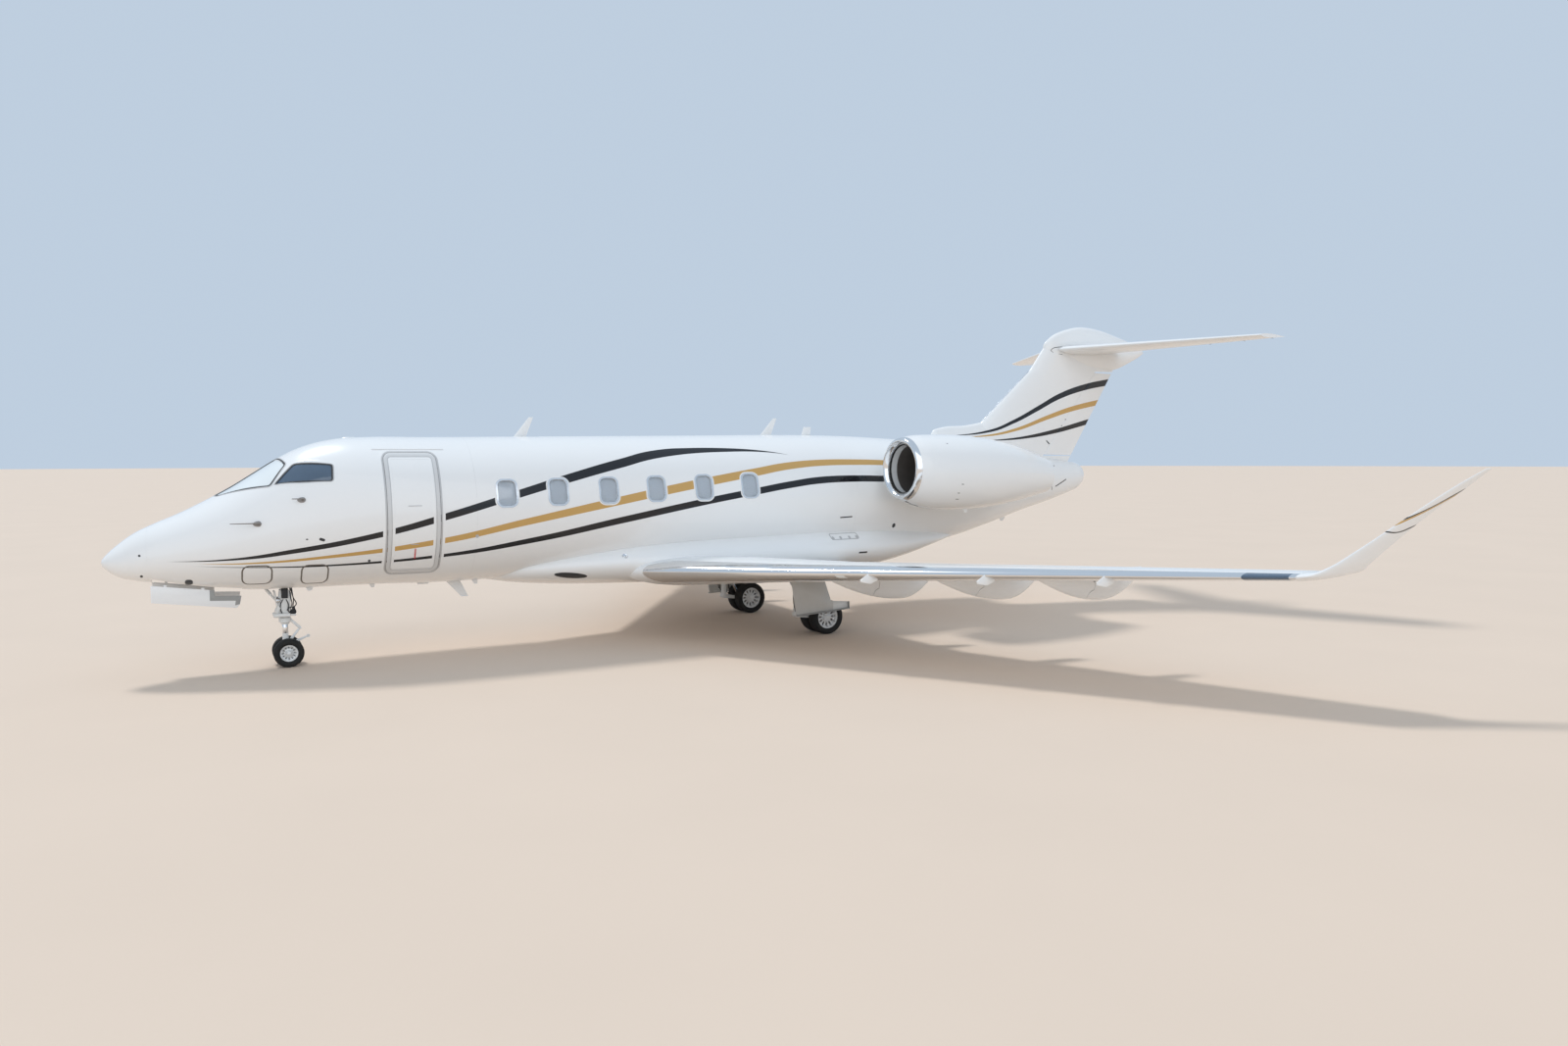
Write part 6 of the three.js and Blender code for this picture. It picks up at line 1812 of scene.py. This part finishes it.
# A crowned cushion: a softened pad with a bulging face, drawn-in sides, channels and a piped seam.
def cushion(name, long, wide, thick, place, channels=0, crown=0.022, steps=30):
    rings = []
    for i in range(steps + 1):
        s = -1 + 2 * i / steps
        end = math.sqrt(max(0.0, 1 - abs(s) ** 7))
        spots = []
        for a in turns(48):
            u, v = boxy(math.cos(a), 0.35), boxy(math.sin(a), 0.55)
            pull = 1 - 0.035 * (1 - s * s) * abs(u) ** 3
            bulge = crown * (1 - s * s) * (1 - u * u) * (1 if v > 0 else 0.3)
            groove = 0.0
            if channels and v > 0:
                across = ((s + 1) * channels / 2) % 1 - 0.5
                groove = 0.009 * math.exp(-((across / 0.07) ** 2)) * (1 - abs(u) ** 4)
            seam = 0.006 * math.exp(-(v / 0.16) ** 2)
            x = s * long / 2
            y = (u * wide / 2 * pull - math.copysign(seam, u)) * (0.86 + 0.14 * end)
            z = v * thick / 2 * (0.25 + 0.75 * end) + (bulge - groove) * (1 if v > 0 else -1)
            spots.append(place @ Vector((x, y, z)))
        rings.append(spots)
    return apply(loft(name, rings), "SUBSURF", levels=1, render_levels=1)


def softPad(pad):
    fit(pad, "airframe", leather, angle=60)


def seatFrame(y):
    parts = [
        plate([(-7.97, 1.56), (-7.71, 1.56), (-7.74, 1.985), (-7.94, 1.985)], y - 0.125, y + 0.125, 0.012),
        plate([(-8.11, 1.975), (-7.64, 1.955), (-7.64, 1.985), (-8.11, 2.0)], y - 0.2, y + 0.2, 0.008),
    ]
    for s in (-1, 1):
        parts.append(rod((-7.53, y + s * 0.06, 2.66), (-7.48, y + s * 0.06, 2.8), 0.008, sides=12))
    post = [(-7.7, 1.98), (-7.6, 1.98), (-7.58, 2.26), (-7.62, 2.26)]
    for s in (-1, 1):
        middle = y + s * deck["armY"]
        parts.append(plate(post, middle - 0.012, middle + 0.012, 0.005))
    return parts


def makeSeats():
    for side, y in (("left", -deck["seatY"]), ("right", deck["seatY"])):
        for name, long, wide, thick, x, z, lean, *form in deck["pads"]:
            place = Matrix.Translation((x, y, z)) @ Matrix.Rotation(math.radians(lean), 4, "Y")
            softPad(cushion(name + side, long, wide, thick, place, *form))
        fitJoined("pilot_seat_frame_" + side, seatFrame(y), darkTrim, "pilot_seat_" + side)
        rests = []
        for s in (-1, 1):
            place = Matrix.Translation((-7.77, y + s * deck["armY"], 2.262))
            rests.append(cushion("rest", 0.42, 0.055, 0.05, place, 0, 0.004, 16))
        softPad(joined(rests, "pilot_armrests_" + side))


def makePanel():
    parts = [plate(outline, -half, half, edge) for outline, half, edge in deck["panel"]]
    for x, z in deck["levers"]:
        for y in (-0.06, 0, 0.06):
            parts.append(rod((x, y, z - 0.03), (x, y, z + 0.035), 0.012, 0.016, 12))
    for y in (-deck["seatY"], deck["seatY"]):
        parts.append(rod((-8.53, y, 2.2), (-8.3, y, 2.24), 0.02, sides=16))
        parts.append(hose([(x, y + across, z) for x, across, z in deck["column"]], 0.014, 12))
    fitJoined("flight_panel", parts, darkTrim, "instrument_panel")


def makeScreens():
    screens, bezels = [], []
    face = lambda z: -8.56 + (z - 2.09) * 0.085
    (half, wide), (low, high), (foot, head) = deck["screenHalf"], deck["screenZ"], deck["bezelZ"]
    for y in deck["screens"]:
        outline = [(face(low), low), (face(high), high), (face(high) + 0.006, high),
                   (face(low) + 0.006, low)]
        screens.append(plate(outline, y - half, y + half, 0.002))
        corners = ((foot, -wide), (head, -wide), (head, wide), (foot, wide), (foot, -wide))
        rim = [Vector((face(z) + 0.006, y + v, z)) for z, v in corners]
        bezels.append(hose([p for a, b in zip(rim, rim[1:]) for p in (a, a.lerp(b, 0.5))] + [rim[-1]],
                           0.006, 8, 1))
    fitJoined("flight_screens", screens, screenGlow)
    fitJoined("screen_bezels", bezels, gearMetal)


def dressNode(name, material):
    node = bpy.data.objects[name]
    node.data.materials.clear()
    node.data.materials.append(material)


screenGlow = finish("flight_screen", (0.02, 0.05, 0.08), "glass", rough=0.1, coat=1.0, mottle=0.6, size=9,
                    grain=120)
makeSeats()
makePanel()
makeScreens()
dressNode("cabin_floor", carpet)
dressNode("cockpit_bulkhead", linerPaint)
print("interior made")
